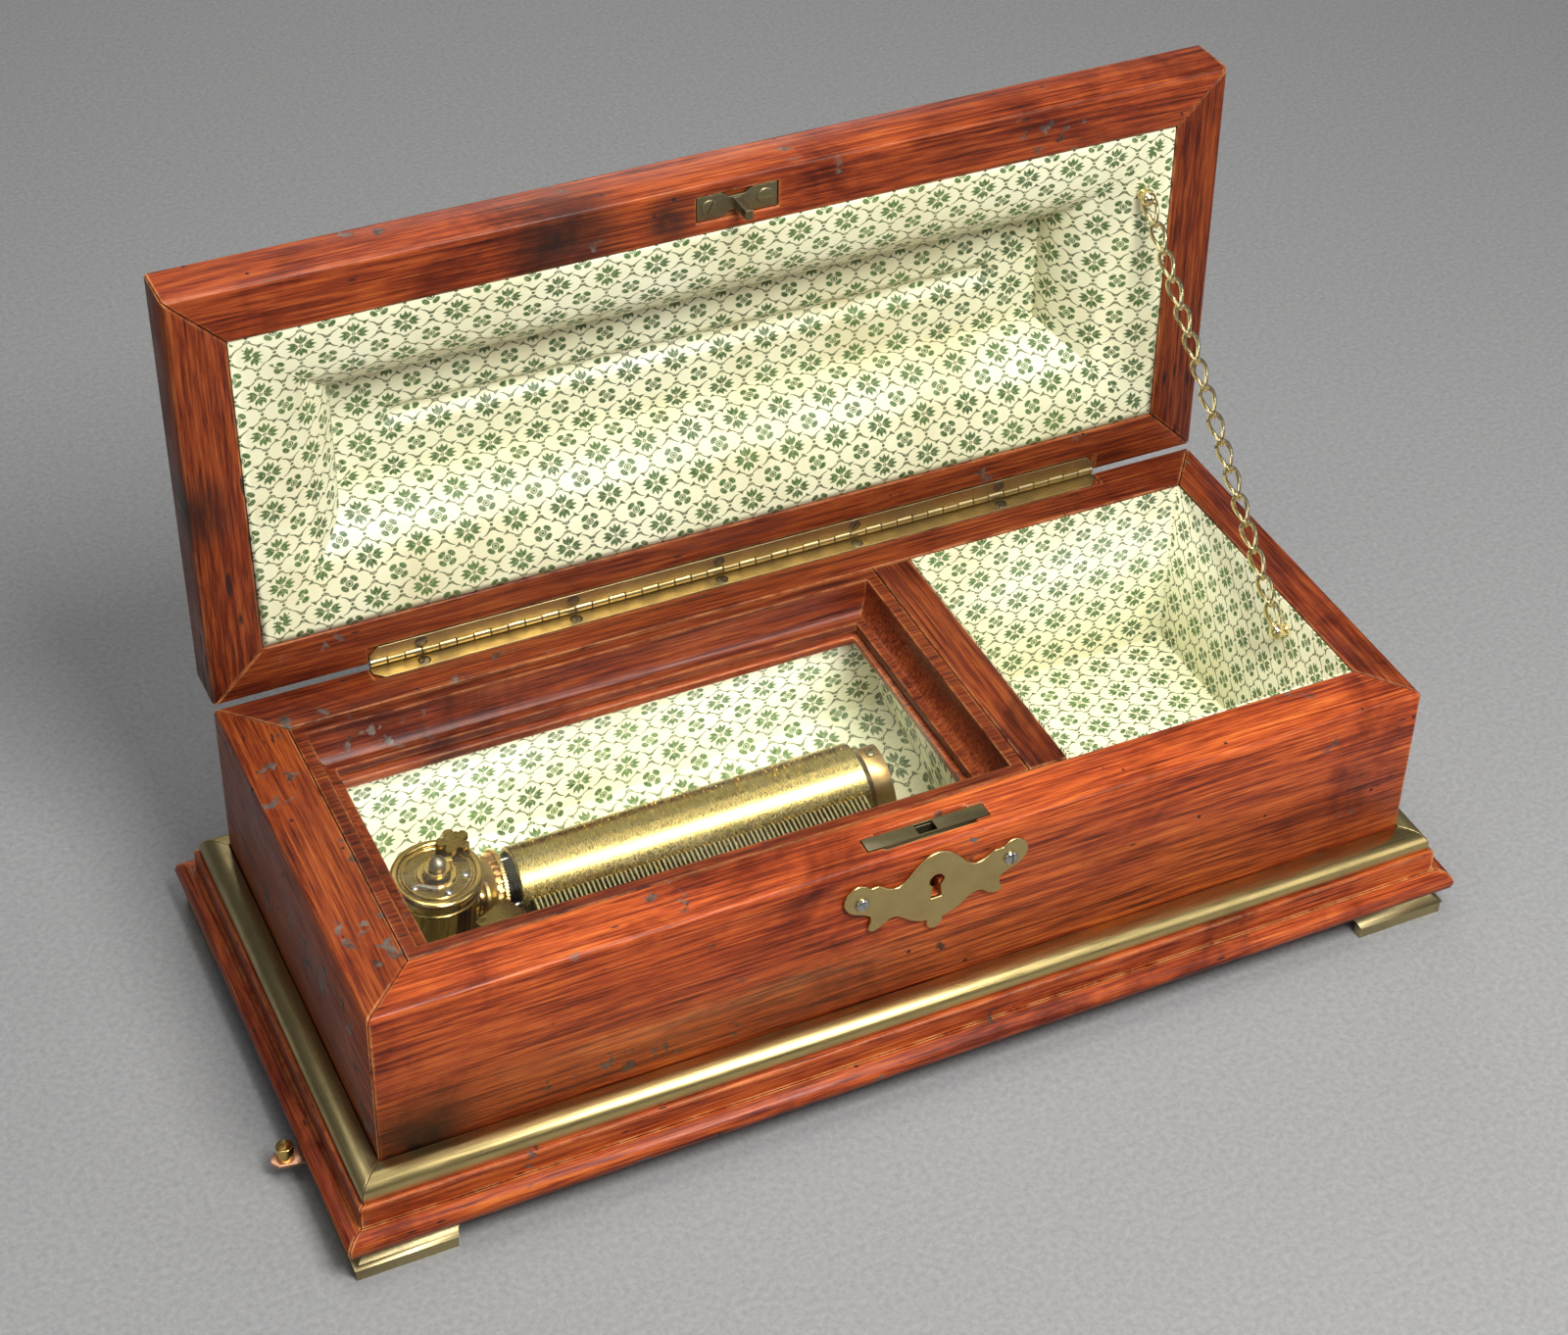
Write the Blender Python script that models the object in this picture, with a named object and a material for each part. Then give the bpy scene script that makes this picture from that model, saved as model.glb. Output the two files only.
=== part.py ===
"""Cylinder music box: a mahogany case on a moulded plinth with brass feet, an open lid on a long
hinge, a lock, a stay chain, and a comb-and-cylinder movement under glass.

Metres, +Z up. The case is centred on the empty "case_centre"; the lid is modelled shut and its
empty "lid_pivot" holds it open. Lengths below are given in millimetres times MM.
"""
from math import atan2, cos, degrees, hypot, pi, radians, sin

import bmesh
import bpy
from mathutils import Matrix, Vector

MM = 0.001
GAP = 0.3 * MM  # between neighbouring pieces

# Case
CASE_LENGTH = 346 * MM
CASE_WIDTH = 143 * MM
RIM_Z = 88.5 * MM
WALL_BOTTOM_Z = 25.3 * MM
WALL_LONG = 17.7 * MM  # front and back boards
WALL_LEFT = 18.0 * MM
WALL_RIGHT = 14.0 * MM
RIM_ROUND = 1.5 * MM
PARTITION_X = (43.2 * MM, 56.2 * MM)
BASE_BOARD_Z = (13.5 * MM, 22.0 * MM)
LINING = 0.8 * MM
FLOOR_Z = BASE_BOARD_Z[1] + GAP

# Plinth, brass moulding and feet: offsets are outward from the case's faces
PLINTH_Z = (9.9 * MM, 25.0 * MM)
PLINTH_INNER = 14.0 * MM
NOSE_OUT = 15.4 * MM
NOSE_RADIUS = 3.9 * MM
FILLET_OUT = 9.7 * MM
BRASS_OUT = 8.1 * MM
BRASS_TOP_Z = 31.8 * MM
FOOT_OUT = 13.1 * MM
FOOT_HEIGHT = 9.6 * MM
FOOT_BAND = 3.9 * MM
FOOT_LENGTH = 31 * MM
FOOT_THICK = 3.2 * MM

# Glazed frame over the movement
MOULD_IN = 10.9 * MM
MOULD_Z = (73.8 * MM, 88.2 * MM)
SUPPORT_IN = 12.5 * MM
SUPPORT_Z = (67.8 * MM, 71.4 * MM)
GLASS_Z = (71.7 * MM, 73.5 * MM)

# Lid, in its shut position
LID_RIM_Z = 88.8 * MM
LID_FRONT_OVERHANG = 1.0 * MM
LID_FRAME = 17.2 * MM
FASCIA = 17.6 * MM
LID_HEIGHT = 38 * MM
LID_TOP_INSET = 42 * MM
LID_INNER = 50.2 * MM
LEDGE_IN = 66 * MM
PANEL_IN = 72 * MM
LEDGE_DEPTH = 25 * MM
PANEL_DEPTH = 28.2 * MM
LID_OPEN = 91.8  # degrees from shut
PIVOT_Y = 71.4 * MM
PIVOT_Z = 90.1 * MM

# Piano hinge
HINGE_X = (-123.0 * MM, 134.5 * MM)
KNUCKLES = 45
KNUCKLE_R = 1.6 * MM
HINGE_PIN_R = 0.7 * MM
LEAF_THICK = 0.8 * MM
LEAF_FRONT_Y = 65.2 * MM
LEAF_CHAMFER = 3 * MM

# Lock
LOCK_X = 2.6 * MM
LOCK_Y = -63.6 * MM
KEYHOLE_Z = 74.8 * MM
KEYHOLE_R = 2.6 * MM
BOLT_Z = 81.8 * MM

# Movement
AXIS_Y = 1.4 * MM
CYLINDER_Z = 51.1 * MM
CYLINDER_R = 10.7 * MM
CYLINDER_X = (-105.0 * MM, 10.3 * MM)
ARBOR_R = 1.6 * MM
CYLINDER_TEETH = 30
BARREL_X = -126.4 * MM
GREAT_TEETH = 52
GREAT_R = 18.6 * MM
FACE_TOOTH_Z = 41.3 * MM
DRUM_R = 12.5 * MM
CAP_R = 14 * MM
CAP_Z = (59.5 * MM, 64.0 * MM)
BEDPLATE_Z = (23.4 * MM, 27.0 * MM)
BEDPLATE_X = (-146 * MM, 23 * MM)
BEDPLATE_Y = (-47 * MM, 27 * MM)
COMB_TEETH = 72
TOOTH_PITCH = 1.5 * MM
COMB_START_X = -99.9 * MM
COMB_THICK = 1.2 * MM
PIN_HEIGHT = 0.8 * MM
COMB_BACK_Y = -44 * MM
GOVERNOR_ANGLE = -2 * pi * 9 / 52  # of its wheel's arbor, seen from the barrel
WORM_TEETH = 20
WORM_WHEEL_R = 4.6 * MM
WORM_WHEEL_AT = 20.4 * MM  # from the barrel's axis
WORM_R = 1.5 * MM
WORM_SPACING = WORM_WHEEL_R + 0.8 * MM + WORM_R + 0.15 * MM
FAN_R = 5 * MM

# Stop lever
LEVER_PIVOT = (-137.3 * MM, -46.9 * MM)
LEVER_PIN = (-192.0 * MM, -38.3 * MM)
LEVER_Z = (6.2 * MM, 7.4 * MM)
LEVER_TIP_X = -196.5 * MM
LEVER_SWING = 5  # degrees

# Stay chain
CASE_EYE = Vector((153.9 * MM, -18.6 * MM, 79.8 * MM))
LID_EYE = Vector((145.5 * MM, -33.0 * MM, 86.5 * MM))
EYE_BALL_R = 2.7 * MM
EYE_SHANK_R = 1.2 * MM
CHAIN_R = 1.6 * MM

HALF_X, HALF_Y = CASE_LENGTH / 2, CASE_WIDTH / 2


# ---------------------------------------------------------------- helpers

def clear_scene():
    for obj in list(bpy.data.objects):
        bpy.data.objects.remove(obj)


def make_material(name, colour, roughness, metallic=0.0, transmission=0.0):
    material = bpy.data.materials.new(name)
    material.use_nodes = True
    shader = material.node_tree.nodes["Principled BSDF"]
    shader.inputs["Base Color"].default_value = (*colour, 1)
    shader.inputs["Roughness"].default_value = roughness
    shader.inputs["Metallic"].default_value = metallic
    shader.inputs["Transmission Weight"].default_value = transmission
    material.diffuse_color = (*colour, 1)
    return material


def finish(name, bm, material, parent, smooth=False):
    """Turns a bmesh into a closed object with its faces pointing out."""
    bmesh.ops.recalc_face_normals(bm, faces=bm.faces)
    mesh = bpy.data.meshes.new(name)
    bm.to_mesh(mesh)
    bm.free()
    if smooth:
        mesh.shade_smooth()
        mesh.set_sharp_from_angle(angle=radians(35))
    mesh.materials.append(material)
    obj = bpy.data.objects.new(name, mesh)
    bpy.context.collection.objects.link(obj)
    obj.parent = parent
    return obj


def add_empty(name, location, parent=None, turn=None):
    empty = bpy.data.objects.new(name, None)
    empty.location = location
    if turn:
        empty.rotation_euler = turn
    empty.parent = parent
    bpy.context.collection.objects.link(empty)
    return empty


def cut(target, cutter):
    """Subtracts a cutter, which stays in the file as a wire guide."""
    cutter.hide_render = True
    cutter.display_type = "WIRE"
    modifier = target.modifiers.new(cutter.name, "BOOLEAN")
    modifier.operation = "DIFFERENCE"
    modifier.solver = "EXACT"
    modifier.object = cutter


def box_mesh(x, y, z):
    bm = bmesh.new()
    size = Vector((x[1] - x[0], y[1] - y[0], z[1] - z[0]))
    middle = Vector((x[0] + x[1], y[0] + y[1], z[0] + z[1])) / 2
    place = Matrix.Translation(middle) @ Matrix.Diagonal((*size, 1))
    bmesh.ops.create_cube(bm, size=1, matrix=place)
    return bm


def box(name, x, y, z, material, parent):
    return finish(name, box_mesh(x, y, z), material, parent)


def cylinder_cutter(name, centre, radius, length, parent, axis="Z", sides=24):
    bm = bmesh.new()
    bmesh.ops.create_cone(bm, cap_ends=True, segments=sides, radius1=radius, radius2=radius, depth=length)
    obj = finish(name, bm, WOOD, parent)
    obj.location = centre
    if axis == "X":
        obj.rotation_euler = (0, radians(90), 0)
    if axis == "Y":
        obj.rotation_euler = (radians(90), 0, 0)
    return obj


def loft(bm, rows, closed=True):
    """Joins rows of vertices with quads; the first and the last row are closed by a face."""
    count = len(rows[0])
    for low, high in zip(rows, rows[1:]):
        for i in range(count if closed else count - 1):
            j = (i + 1) % count
            bm.faces.new((low[i], low[j], high[j], high[i]))
    bm.faces.new(rows[0])
    bm.faces.new(rows[-1])


def plane_points(outline, plane, level):
    """Puts a flat outline into the XY, XZ or YZ plane at the given level of the third axis."""
    if plane == "XY":
        return [Vector((a, b, level)) for a, b in outline]
    if plane == "XZ":
        return [Vector((a, level, b)) for a, b in outline]
    return [Vector((level, a, b)) for a, b in outline]


def prism(name, outline, span, plane, material, parent, smooth=False):
    """Extrudes an outline between the two levels of span."""
    bm = bmesh.new()
    face = bm.faces.new([bm.verts.new(p) for p in plane_points(outline, plane, span[0])])
    grown = bmesh.ops.extrude_face_region(bm, geom=[face])["geom"]
    step = plane_points([(0, 0)], plane, span[1] - span[0])[0]
    bmesh.ops.translate(bm, verts=[v for v in grown if isinstance(v, bmesh.types.BMVert)], vec=step)
    return finish(name, bm, material, parent, smooth)


def holed_prism(name, outer, holes, span, plane, material, parent):
    """A plate with an outer outline and open holes, filled flat between its loops."""
    bm = bmesh.new()
    loops = [outer] + holes
    rings = []
    for outline in loops:
        ring = []
        for level in span:
            ring.append([bm.verts.new(p) for p in plane_points(outline, plane, level)])
        rings.append(ring)
    for low, high in rings:
        for i in range(len(low)):
            j = (i + 1) % len(low)
            bm.faces.new((low[i], low[j], high[j], high[i]))
    for side in range(2):
        edges = []
        for ring in rings:
            row = ring[side]
            edges += [bm.edges.get((row[i], row[(i + 1) % len(row)])) for i in range(len(row))]
        bmesh.ops.triangle_fill(bm, use_beauty=True, edges=edges)
    return finish(name, bm, material, parent)


def circle(centre, radius, count, start=0.0):
    turns = [start + 2 * pi * i / count for i in range(count)]
    return [(centre[0] + radius * cos(turn), centre[1] + radius * sin(turn)) for turn in turns]


def arc(centre, radii, start, end, steps):
    """Points on an ellipse, from one angle to another in degrees."""
    angles = [radians(start + (end - start) * i / steps) for i in range(steps + 1)]
    return [(centre[0] + radii[0] * cos(a), centre[1] + radii[1] * sin(a)) for a in angles]


def smooth_outline(points, steps):
    """A closed Catmull-Rom curve through the points."""
    out = []
    count = len(points)
    for i in range(count):
        p = [Vector(points[(i + k - 1) % count]) for k in range(4)]
        for s in range(steps):
            t = s / steps
            q = 2 * p[1] + (p[2] - p[0]) * t
            q += (2 * p[0] - 5 * p[1] + 4 * p[2] - p[3]) * t * t
            q += (3 * p[1] - p[0] - 3 * p[2] + p[3]) * t ** 3
            out.append((q.x / 2, q.y / 2))
    return out


def turned(name, profile, segments, axis, material, parent, centre=(0, 0, 0), closed=False):
    """Spins a profile of (radius, along) points about an axis. A closed profile makes a ring;
    an open one starts and ends on the axis."""
    return toothed(name, profile, segments, axis, material, parent, centre, closed)


def toothed(name, profile, segments, axis, material, parent, centre=(0, 0, 0), closed=False,
            teeth=0, share=0.5, band=0, lift=(0, 0), taper=1.0, phase=0.0, leaves=None):
    """A turned piece; with teeth, every second sector of the profile's edge number band rises by
    lift (radial, along), narrowed by taper. A tooth is centred on the angle phase. leaves gives a
    second, coarser set on another edge: (edge, rise), with one leaf to every second tooth."""
    bm = bmesh.new()
    if teeth:
        step = 2 * pi / teeth
        angles = []
        for i in range(teeth):
            middle = phase + i * step
            angles += [middle - step * share / 2, middle + step * share / 2]
    else:
        angles = [phase + 2 * pi * i / segments for i in range(segments)]

    def place(radius, along, angle):
        a, b = radius * cos(angle), radius * sin(angle)
        if axis == "Z":
            return Vector((a, b, along))
        return Vector((along, a, b))

    columns = []
    poles = {}
    for angle in angles:
        column = []
        for i, (radius, along) in enumerate(profile):
            if radius < 1e-9:
                if i not in poles:
                    poles[i] = bm.verts.new(place(0, along, 0))
                column.append(poles[i])
            else:
                column.append(bm.verts.new(place(radius, along, angle)))
        columns.append(column)
    bands = []
    edges = len(profile) if closed else len(profile) - 1
    for k, column in enumerate(columns):
        nearby = columns[(k + 1) % len(columns)]
        for i in range(edges):
            j = (i + 1) % len(profile)
            corners = [column[i], nearby[i], nearby[j], column[j]]
            corners = [v for n, v in enumerate(corners) if v not in corners[:n]]
            face = bm.faces.new(corners)
            middle = (angles[k] + angles[(k + 1) % len(angles)]) / 2
            if teeth and i == band and k % 2 == 0:
                bands.append((face, middle, lift))
            if leaves and i == leaves[0] and k % 4 == 0:
                bands.append((face, middle, (leaves[1], 0)))
    for face, angle, lift in bands:
        grown = bmesh.ops.extrude_discrete_faces(bm, faces=[face])["faces"][0]
        rise = place(lift[0], lift[1], angle)
        middle = grown.calc_center_median()
        for v in grown.verts:
            v.co = middle + (v.co - middle) * taper + rise
    bmesh.ops.remove_doubles(bm, verts=bm.verts, dist=1e-6)
    obj = finish(name, bm, material, parent, smooth=True)
    obj.location = centre
    return obj


def mitred_rail(name, side, profile, material, parent, half=(HALF_X, HALF_Y), shift=(0, 0),
                depth=WALL_LONG, ends=None):
    """One side of a mitred frame. The profile is (inset, height) from the frame's outer faces;
    ends gives how far the mitre runs along the rail at full depth, at its low and its high end."""
    ends = ends or (depth, depth)
    bm = bmesh.new()
    rows = []
    for end, sign in ((ends[0], -1), (ends[1], 1)):
        row = []
        for inset, height in profile:
            back = inset * end / depth + GAP / 2
            if side in ("front", "back"):
                across = (half[1] - inset) * (-1 if side == "front" else 1)
                row.append(bm.verts.new((sign * (half[0] - back) + shift[0], across + shift[1], height)))
            else:
                across = (half[0] - inset) * (-1 if side == "left" else 1)
                row.append(bm.verts.new((across + shift[0], sign * (half[1] - back) + shift[1], height)))
        rows.append(row)
    loft(bm, rows)
    return finish(name, bm, material, parent)


def frame_ring(name, section, half, shift, material, parent):
    """A frame of one closed section of (inset, height), run round a rectangle with mitred corners."""
    bm = bmesh.new()
    corners = [(-1, -1), (1, -1), (1, 1), (-1, 1)]
    rows = []
    for sx, sy in corners:
        row = [
            bm.verts.new((sx * (half[0] - inset) + shift[0], sy * (half[1] - inset) + shift[1], height))
            for inset, height in section
        ]
        rows.append(row)
    count = len(section)
    for k in range(4):
        near, far = rows[k], rows[(k + 1) % 4]
        for i in range(count):
            j = (i + 1) % count
            bm.faces.new((near[i], far[i], far[j], near[j]))
    return finish(name, bm, material, parent)


def tray(name, x, y, z, thick, material, parent):
    """An open-topped box of thin card."""
    bm = bmesh.new()

    def ring(inset, height):
        return [
            bm.verts.new((a, b, height))
            for a, b in (
                (x[0] + inset, y[0] + inset),
                (x[1] - inset, y[0] + inset),
                (x[1] - inset, y[1] - inset),
                (x[0] + inset, y[1] - inset),
            )
        ]

    loft(bm, [ring(0, z[0]), ring(0, z[1]), ring(thick, z[1]), ring(thick, z[0] + thick)])
    return finish(name, bm, material, parent)


# ---------------------------------------------------------------- case

def case_boards():
    top = [(0, RIM_Z - RIM_ROUND), (RIM_ROUND * 0.3, RIM_Z - RIM_ROUND * 0.3), (RIM_ROUND, RIM_Z)]
    long_wall = [(0, WALL_BOTTOM_Z), *top, (WALL_LONG, RIM_Z), (WALL_LONG, WALL_BOTTOM_Z)]
    boards = {}
    for side in ("front", "back"):
        boards[side] = mitred_rail(
            f"{side}_board", side, long_wall, WOOD, CASE, ends=(WALL_LEFT, WALL_RIGHT)
        )
    for side, thick in (("left", WALL_LEFT), ("right", WALL_RIGHT)):
        end_wall = [(0, WALL_BOTTOM_Z), *top, (thick, RIM_Z), (thick, WALL_BOTTOM_Z)]
        boards[side] = mitred_rail(
            f"{side}_end_board", side, end_wall, WOOD, CASE, depth=thick, ends=(WALL_LONG, WALL_LONG)
        )
    inner_y = HALF_Y - WALL_LONG - GAP
    box("partition_board", PARTITION_X, (-inner_y, inner_y), (FLOOR_Z, RIM_Z), WOOD, CASE)
    inside = HALF_X - PLINTH_INNER - GAP
    inside_y = HALF_Y - PLINTH_INNER - GAP
    boards["base"] = box(
        "base_board", (-inside, inside), (-inside_y, inside_y), BASE_BOARD_Z, PLAIN_WOOD, CASE
    )
    return boards


def plinth():
    nose_centre = (-(NOSE_OUT - NOSE_RADIUS), PLINTH_Z[0] + NOSE_RADIUS)
    nose = arc(nose_centre, (NOSE_RADIUS, NOSE_RADIUS), 270, 90, 6)
    groove_z = nose[-1][1] - 0.5 * MM
    profile = [(PLINTH_INNER, PLINTH_Z[0]), *nose]
    profile += [
        (-(FILLET_OUT + 0.6 * MM), groove_z),
        (-FILLET_OUT, groove_z + 0.3 * MM),
        (-FILLET_OUT, PLINTH_Z[1] - 0.5 * MM),
        (-FILLET_OUT + 0.5 * MM, PLINTH_Z[1]),
        (PLINTH_INNER, PLINTH_Z[1]),
    ]
    brass = [(-GAP, WALL_BOTTOM_Z), (-BRASS_OUT, WALL_BOTTOM_Z)]
    brass += arc((-2.5 * MM, 27.2 * MM), (BRASS_OUT - 2.5 * MM, BRASS_TOP_Z - 27.2 * MM), 180, 90, 6)
    brass += [(-GAP, BRASS_TOP_Z)]
    for side in ("front", "back", "left", "right"):
        mitred_rail(f"plinth_{side}", side, profile, WOOD, CASE)
        mitred_rail(f"brass_moulding_{side}", side, brass, BRASS, CASE)


def feet():
    """Cast corner brackets: a flat band at the floor and a hollow above it, swept round the corner."""
    outer = [(FOOT_OUT, 0), (FOOT_OUT, FOOT_BAND)]
    outer += arc((FOOT_OUT + 1.2 * MM, FOOT_HEIGHT + 0.4 * MM), (5.0 * MM, 5.4 * MM), 262, 188, 4)
    outer.append((FOOT_OUT - 3.9 * MM, FOOT_HEIGHT))
    inner = [(offset - FOOT_THICK, z) for offset, z in reversed(outer)]
    section = outer + inner

    def reach(z):
        if z < 3.4 * MM:
            return FOOT_LENGTH
        rise = (z - 3.4 * MM) / (FOOT_HEIGHT - 3.4 * MM)
        return FOOT_LENGTH + 4.2 * MM * rise ** 2

    for fy, sy in (("front", -1), ("back", 1)):
        for fx, sx in (("left", -1), ("right", 1)):
            bm = bmesh.new()
            rows = [[], [], []]
            for offset, z in section:
                x, y = HALF_X + offset, HALF_Y + offset
                rows[0].append(bm.verts.new((sx * (HALF_X + FOOT_OUT - reach(z)), sy * y, z)))
                rows[1].append(bm.verts.new((sx * x, sy * y, z)))
                rows[2].append(bm.verts.new((sx * x, sy * (HALF_Y + FOOT_OUT - reach(z)), z)))
            loft(bm, rows)
            finish(f"foot_{fy}_{fx}", bm, BRASS, CASE)


def compartments():
    left = (-HALF_X + WALL_LEFT, PARTITION_X[0])
    right = (PARTITION_X[1], HALF_X - WALL_RIGHT)
    y = (-HALF_Y + WALL_LONG, HALF_Y - WALL_LONG)
    inner_y = (y[0] + GAP, y[1] - GAP)
    low = FLOOR_Z
    left_lining = tray(
        "left_compartment_lining", (left[0] + GAP, left[1] - GAP), inner_y,
        (low, SUPPORT_Z[0] - GAP), LINING, PAPER, CASE,
    )
    tray(
        "right_compartment_lining", (right[0] + GAP, right[1] - GAP), inner_y,
        (low, RIM_Z - GAP), LINING, PAPER, CASE,
    )
    half = ((left[1] - left[0]) / 2, (y[1] - y[0]) / 2)
    shift = ((left[0] + left[1]) / 2, 0)
    cove = arc((9.3 * MM, 88.0 * MM), (4.8 * MM, 11.1 * MM), 180, 270, 6)
    section = [(GAP, MOULD_Z[0]), (GAP, MOULD_Z[1]), (4.3 * MM, MOULD_Z[1]), *cove]
    section += [(MOULD_IN, cove[-1][1]), (MOULD_IN, MOULD_Z[0])]
    frame_ring("glazing_frame", section, half, shift, WOOD, CASE)
    support = [
        (GAP, SUPPORT_Z[0]), (GAP, SUPPORT_Z[1]), (SUPPORT_IN, SUPPORT_Z[1]), (SUPPORT_IN, SUPPORT_Z[0])
    ]
    frame_ring("glass_support_frame", support, half, shift, WOOD, CASE)
    edge = 3 * MM
    box(
        "glass_pane", (left[0] + edge, left[1] - edge), (y[0] + edge, y[1] - edge), GLASS_Z, GLASS, CASE
    )
    return left_lining


# ---------------------------------------------------------------- lock

def keyhole(scale):
    """Round eye with a slot that widens downwards, about the keyhole's centre."""
    radius = KEYHOLE_R * scale
    points = arc((0, 0), (radius, radius), -60, 240, 12)
    foot = 7.2 * MM * scale
    return [(1.9 * MM * scale, -foot), *points, (-1.9 * MM * scale, -foot)]


def lock(front_board):
    half = 20.0 * MM
    plate_y = (LOCK_Y - 2.6 * MM, LOCK_Y + 2.6 * MM)
    plate_z = (RIM_Z - 1.0 * MM, RIM_Z)
    outline = [
        (LOCK_X - half, plate_y[0]), (LOCK_X + half, plate_y[0]),
        (LOCK_X + half, plate_y[1]), (LOCK_X - half, plate_y[1]),
    ]
    hole = [
        (LOCK_X - 3.1 * MM, LOCK_Y - 2.1 * MM), (LOCK_X + 3.1 * MM, LOCK_Y - 2.1 * MM),
        (LOCK_X + 3.1 * MM, LOCK_Y + 2.1 * MM), (LOCK_X - 3.1 * MM, LOCK_Y + 2.1 * MM),
    ]
    holed_prism("lock_faceplate", outline, [hole], plate_z, "XY", BRASS, CASE)
    body_x = (LOCK_X - 15 * MM, LOCK_X + 15 * MM)
    body_y = (LOCK_Y - 3.6 * MM, LOCK_Y + 3.6 * MM)
    body_z = (62 * MM, plate_z[0] - GAP)
    body = box("lock_body", body_x, body_y, body_z, BRASS, CASE)
    pocket = box(
        "cut_lock_pocket", (LOCK_X - 13 * MM, LOCK_X + 10 * MM), (LOCK_Y - 2.1 * MM, LOCK_Y + 2.1 * MM),
        (79.8 * MM, 90 * MM), BRASS, CASE,
    )
    cut(body, pocket)
    key_drill = cylinder_cutter(
        "cut_lock_drill", (LOCK_X, body_y[0], KEYHOLE_Z), KEYHOLE_R, 8 * MM, CASE, "Y", 16
    )
    cut(body, key_drill)
    mortise = box(
        "cut_lock_mortise", (body_x[0] - GAP, body_x[1] + GAP), (body_y[0] - GAP, body_y[1] + GAP),
        (body_z[0] - GAP, RIM_Z + 1 * MM), WOOD, CASE,
    )
    cut(front_board, mortise)
    recess = box(
        "cut_faceplate_recess", (LOCK_X - half - GAP, LOCK_X + half + GAP),
        (plate_y[0] - GAP, plate_y[1] + GAP), (plate_z[0] - GAP, RIM_Z + 1 * MM), WOOD, CASE,
    )
    cut(front_board, recess)
    hole_points = [(LOCK_X + x, KEYHOLE_Z + z) for x, z in keyhole(1.0)]
    drill = prism(
        "cut_keyhole", hole_points, (-HALF_Y - 1 * MM, body_y[0] - GAP + 0.1 * MM), "XZ", WOOD, CASE
    )
    cut(front_board, drill)
    bolt_x = (LOCK_X - 12.5 * MM, LOCK_X - 3.5 * MM)
    bolt = box(
        "lock_bolt", (0, bolt_x[1] - bolt_x[0]), (-0.85 * MM, 0.85 * MM), (0, 2.4 * MM), STEEL, CASE
    )
    bolt.location = (bolt_x[0], LOCK_Y, BOLT_Z)


def escutcheon():
    """A shaped plate: a dome over the keyhole, a lobe for a pin at each end, hooked tails and a tab."""
    right = [
        (3.6, 10.3), (6.8, 7.6), (9.6, 4.3), (12.7, 2.1), (16.0, 2.7), (19.2, 5.0), (21.8, 4.9),
        (23.6, 6.4), (26.2, 7.1), (29.0, 5.5), (30.5, 2.8), (30.2, -0.3), (27.9, -3.2), (24.0, -5.0),
        (21.7, -6.6), (21.7, -9.2), (22.4, -11.7), (20.8, -12.8), (17.8, -11.8), (15.4, -9.8),
        (12.0, -10.2), (8.4, -13.2), (4.8, -15.0), (2.5, -15.7), (2.7, -17.4),
    ]
    points = [(0, 11.4)] + right + [(0, -19.7)] + [(-x, z) for x, z in reversed(right)]
    outline = [(LOCK_X + x * MM, KEYHOLE_Z + z * MM) for x, z in smooth_outline(points, 2)]
    hole = [(LOCK_X + x, KEYHOLE_Z + z) for x, z in keyhole(0.96)]
    front = -HALF_Y - GAP
    holed_prism("escutcheon", outline, [hole], (front - 1.2 * MM, front), "XZ", BRASS, CASE)


# ---------------------------------------------------------------- hinge

def hinge_leaf(name, flat, start, first, parent, origin):
    """A leaf with every second knuckle rolled round the pin. Seen from the pivot with the lid shut,
    flat gives the heights of the leaf's two faces and start the angle where its roll begins."""
    pitch = (HINGE_X[1] - HINGE_X[0]) / KNUCKLES
    front = LEAF_FRONT_Y - PIVOT_Y
    root_y = -(KNUCKLE_R + 0.2 * MM)
    bore = HINGE_PIN_R + 0.15 * MM
    outer = arc((0, 0), (KNUCKLE_R, KNUCKLE_R), start, 520, 9)
    inner = arc((0, 0), (bore, bore), 520, start, 7)
    curl = outer + inner
    stations = [HINGE_X[0] + i * pitch for i in range(KNUCKLES + 1)]
    spans = [
        (stations[i] + 0.12 * MM, stations[i + 1] - 0.12 * MM) for i in range(KNUCKLES) if i % 2 == first
    ]
    xs = sorted({x for span in spans for x in span} | set(HINGE_X))
    bm = bmesh.new()

    def vert(x, y, z):
        return bm.verts.new((x, y, z))

    low = {x: vert(x, root_y, flat[0]) for x in xs}
    high = {x: vert(x, root_y, flat[1]) for x in xs}
    outline = [
        (HINGE_X[0], front + LEAF_CHAMFER), (HINGE_X[0] + LEAF_CHAMFER, front),
        (HINGE_X[1] - LEAF_CHAMFER, front), (HINGE_X[1], front + LEAF_CHAMFER),
    ]
    corner_low = [vert(x, y, flat[0]) for x, y in outline]
    corner_high = [vert(x, y, flat[1]) for x, y in outline]
    bm.faces.new(corner_low + [low[x] for x in reversed(xs)])
    bm.faces.new(corner_high + [high[x] for x in reversed(xs)])
    for i in range(3):
        bm.faces.new((corner_low[i], corner_low[i + 1], corner_high[i + 1], corner_high[i]))
    for i, x in ((0, HINGE_X[0]), (3, HINGE_X[1])):
        bm.faces.new((corner_low[i], corner_high[i], high[x], low[x]))
    for a, b in zip(xs, xs[1:]):
        if (a, b) not in spans:
            bm.faces.new((low[a], low[b], high[b], high[a]))
            continue
        rows = [[low[x], *[vert(x, *point) for point in curl], high[x]] for x in (a, b)]
        for i in range(len(curl) + 1):
            bm.faces.new((rows[0][i], rows[0][i + 1], rows[1][i + 1], rows[1][i]))
        bm.faces.new(rows[0])
        bm.faces.new(rows[1])
    obj = finish(name, bm, BRASS, parent)
    obj.location = origin
    return obj


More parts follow.
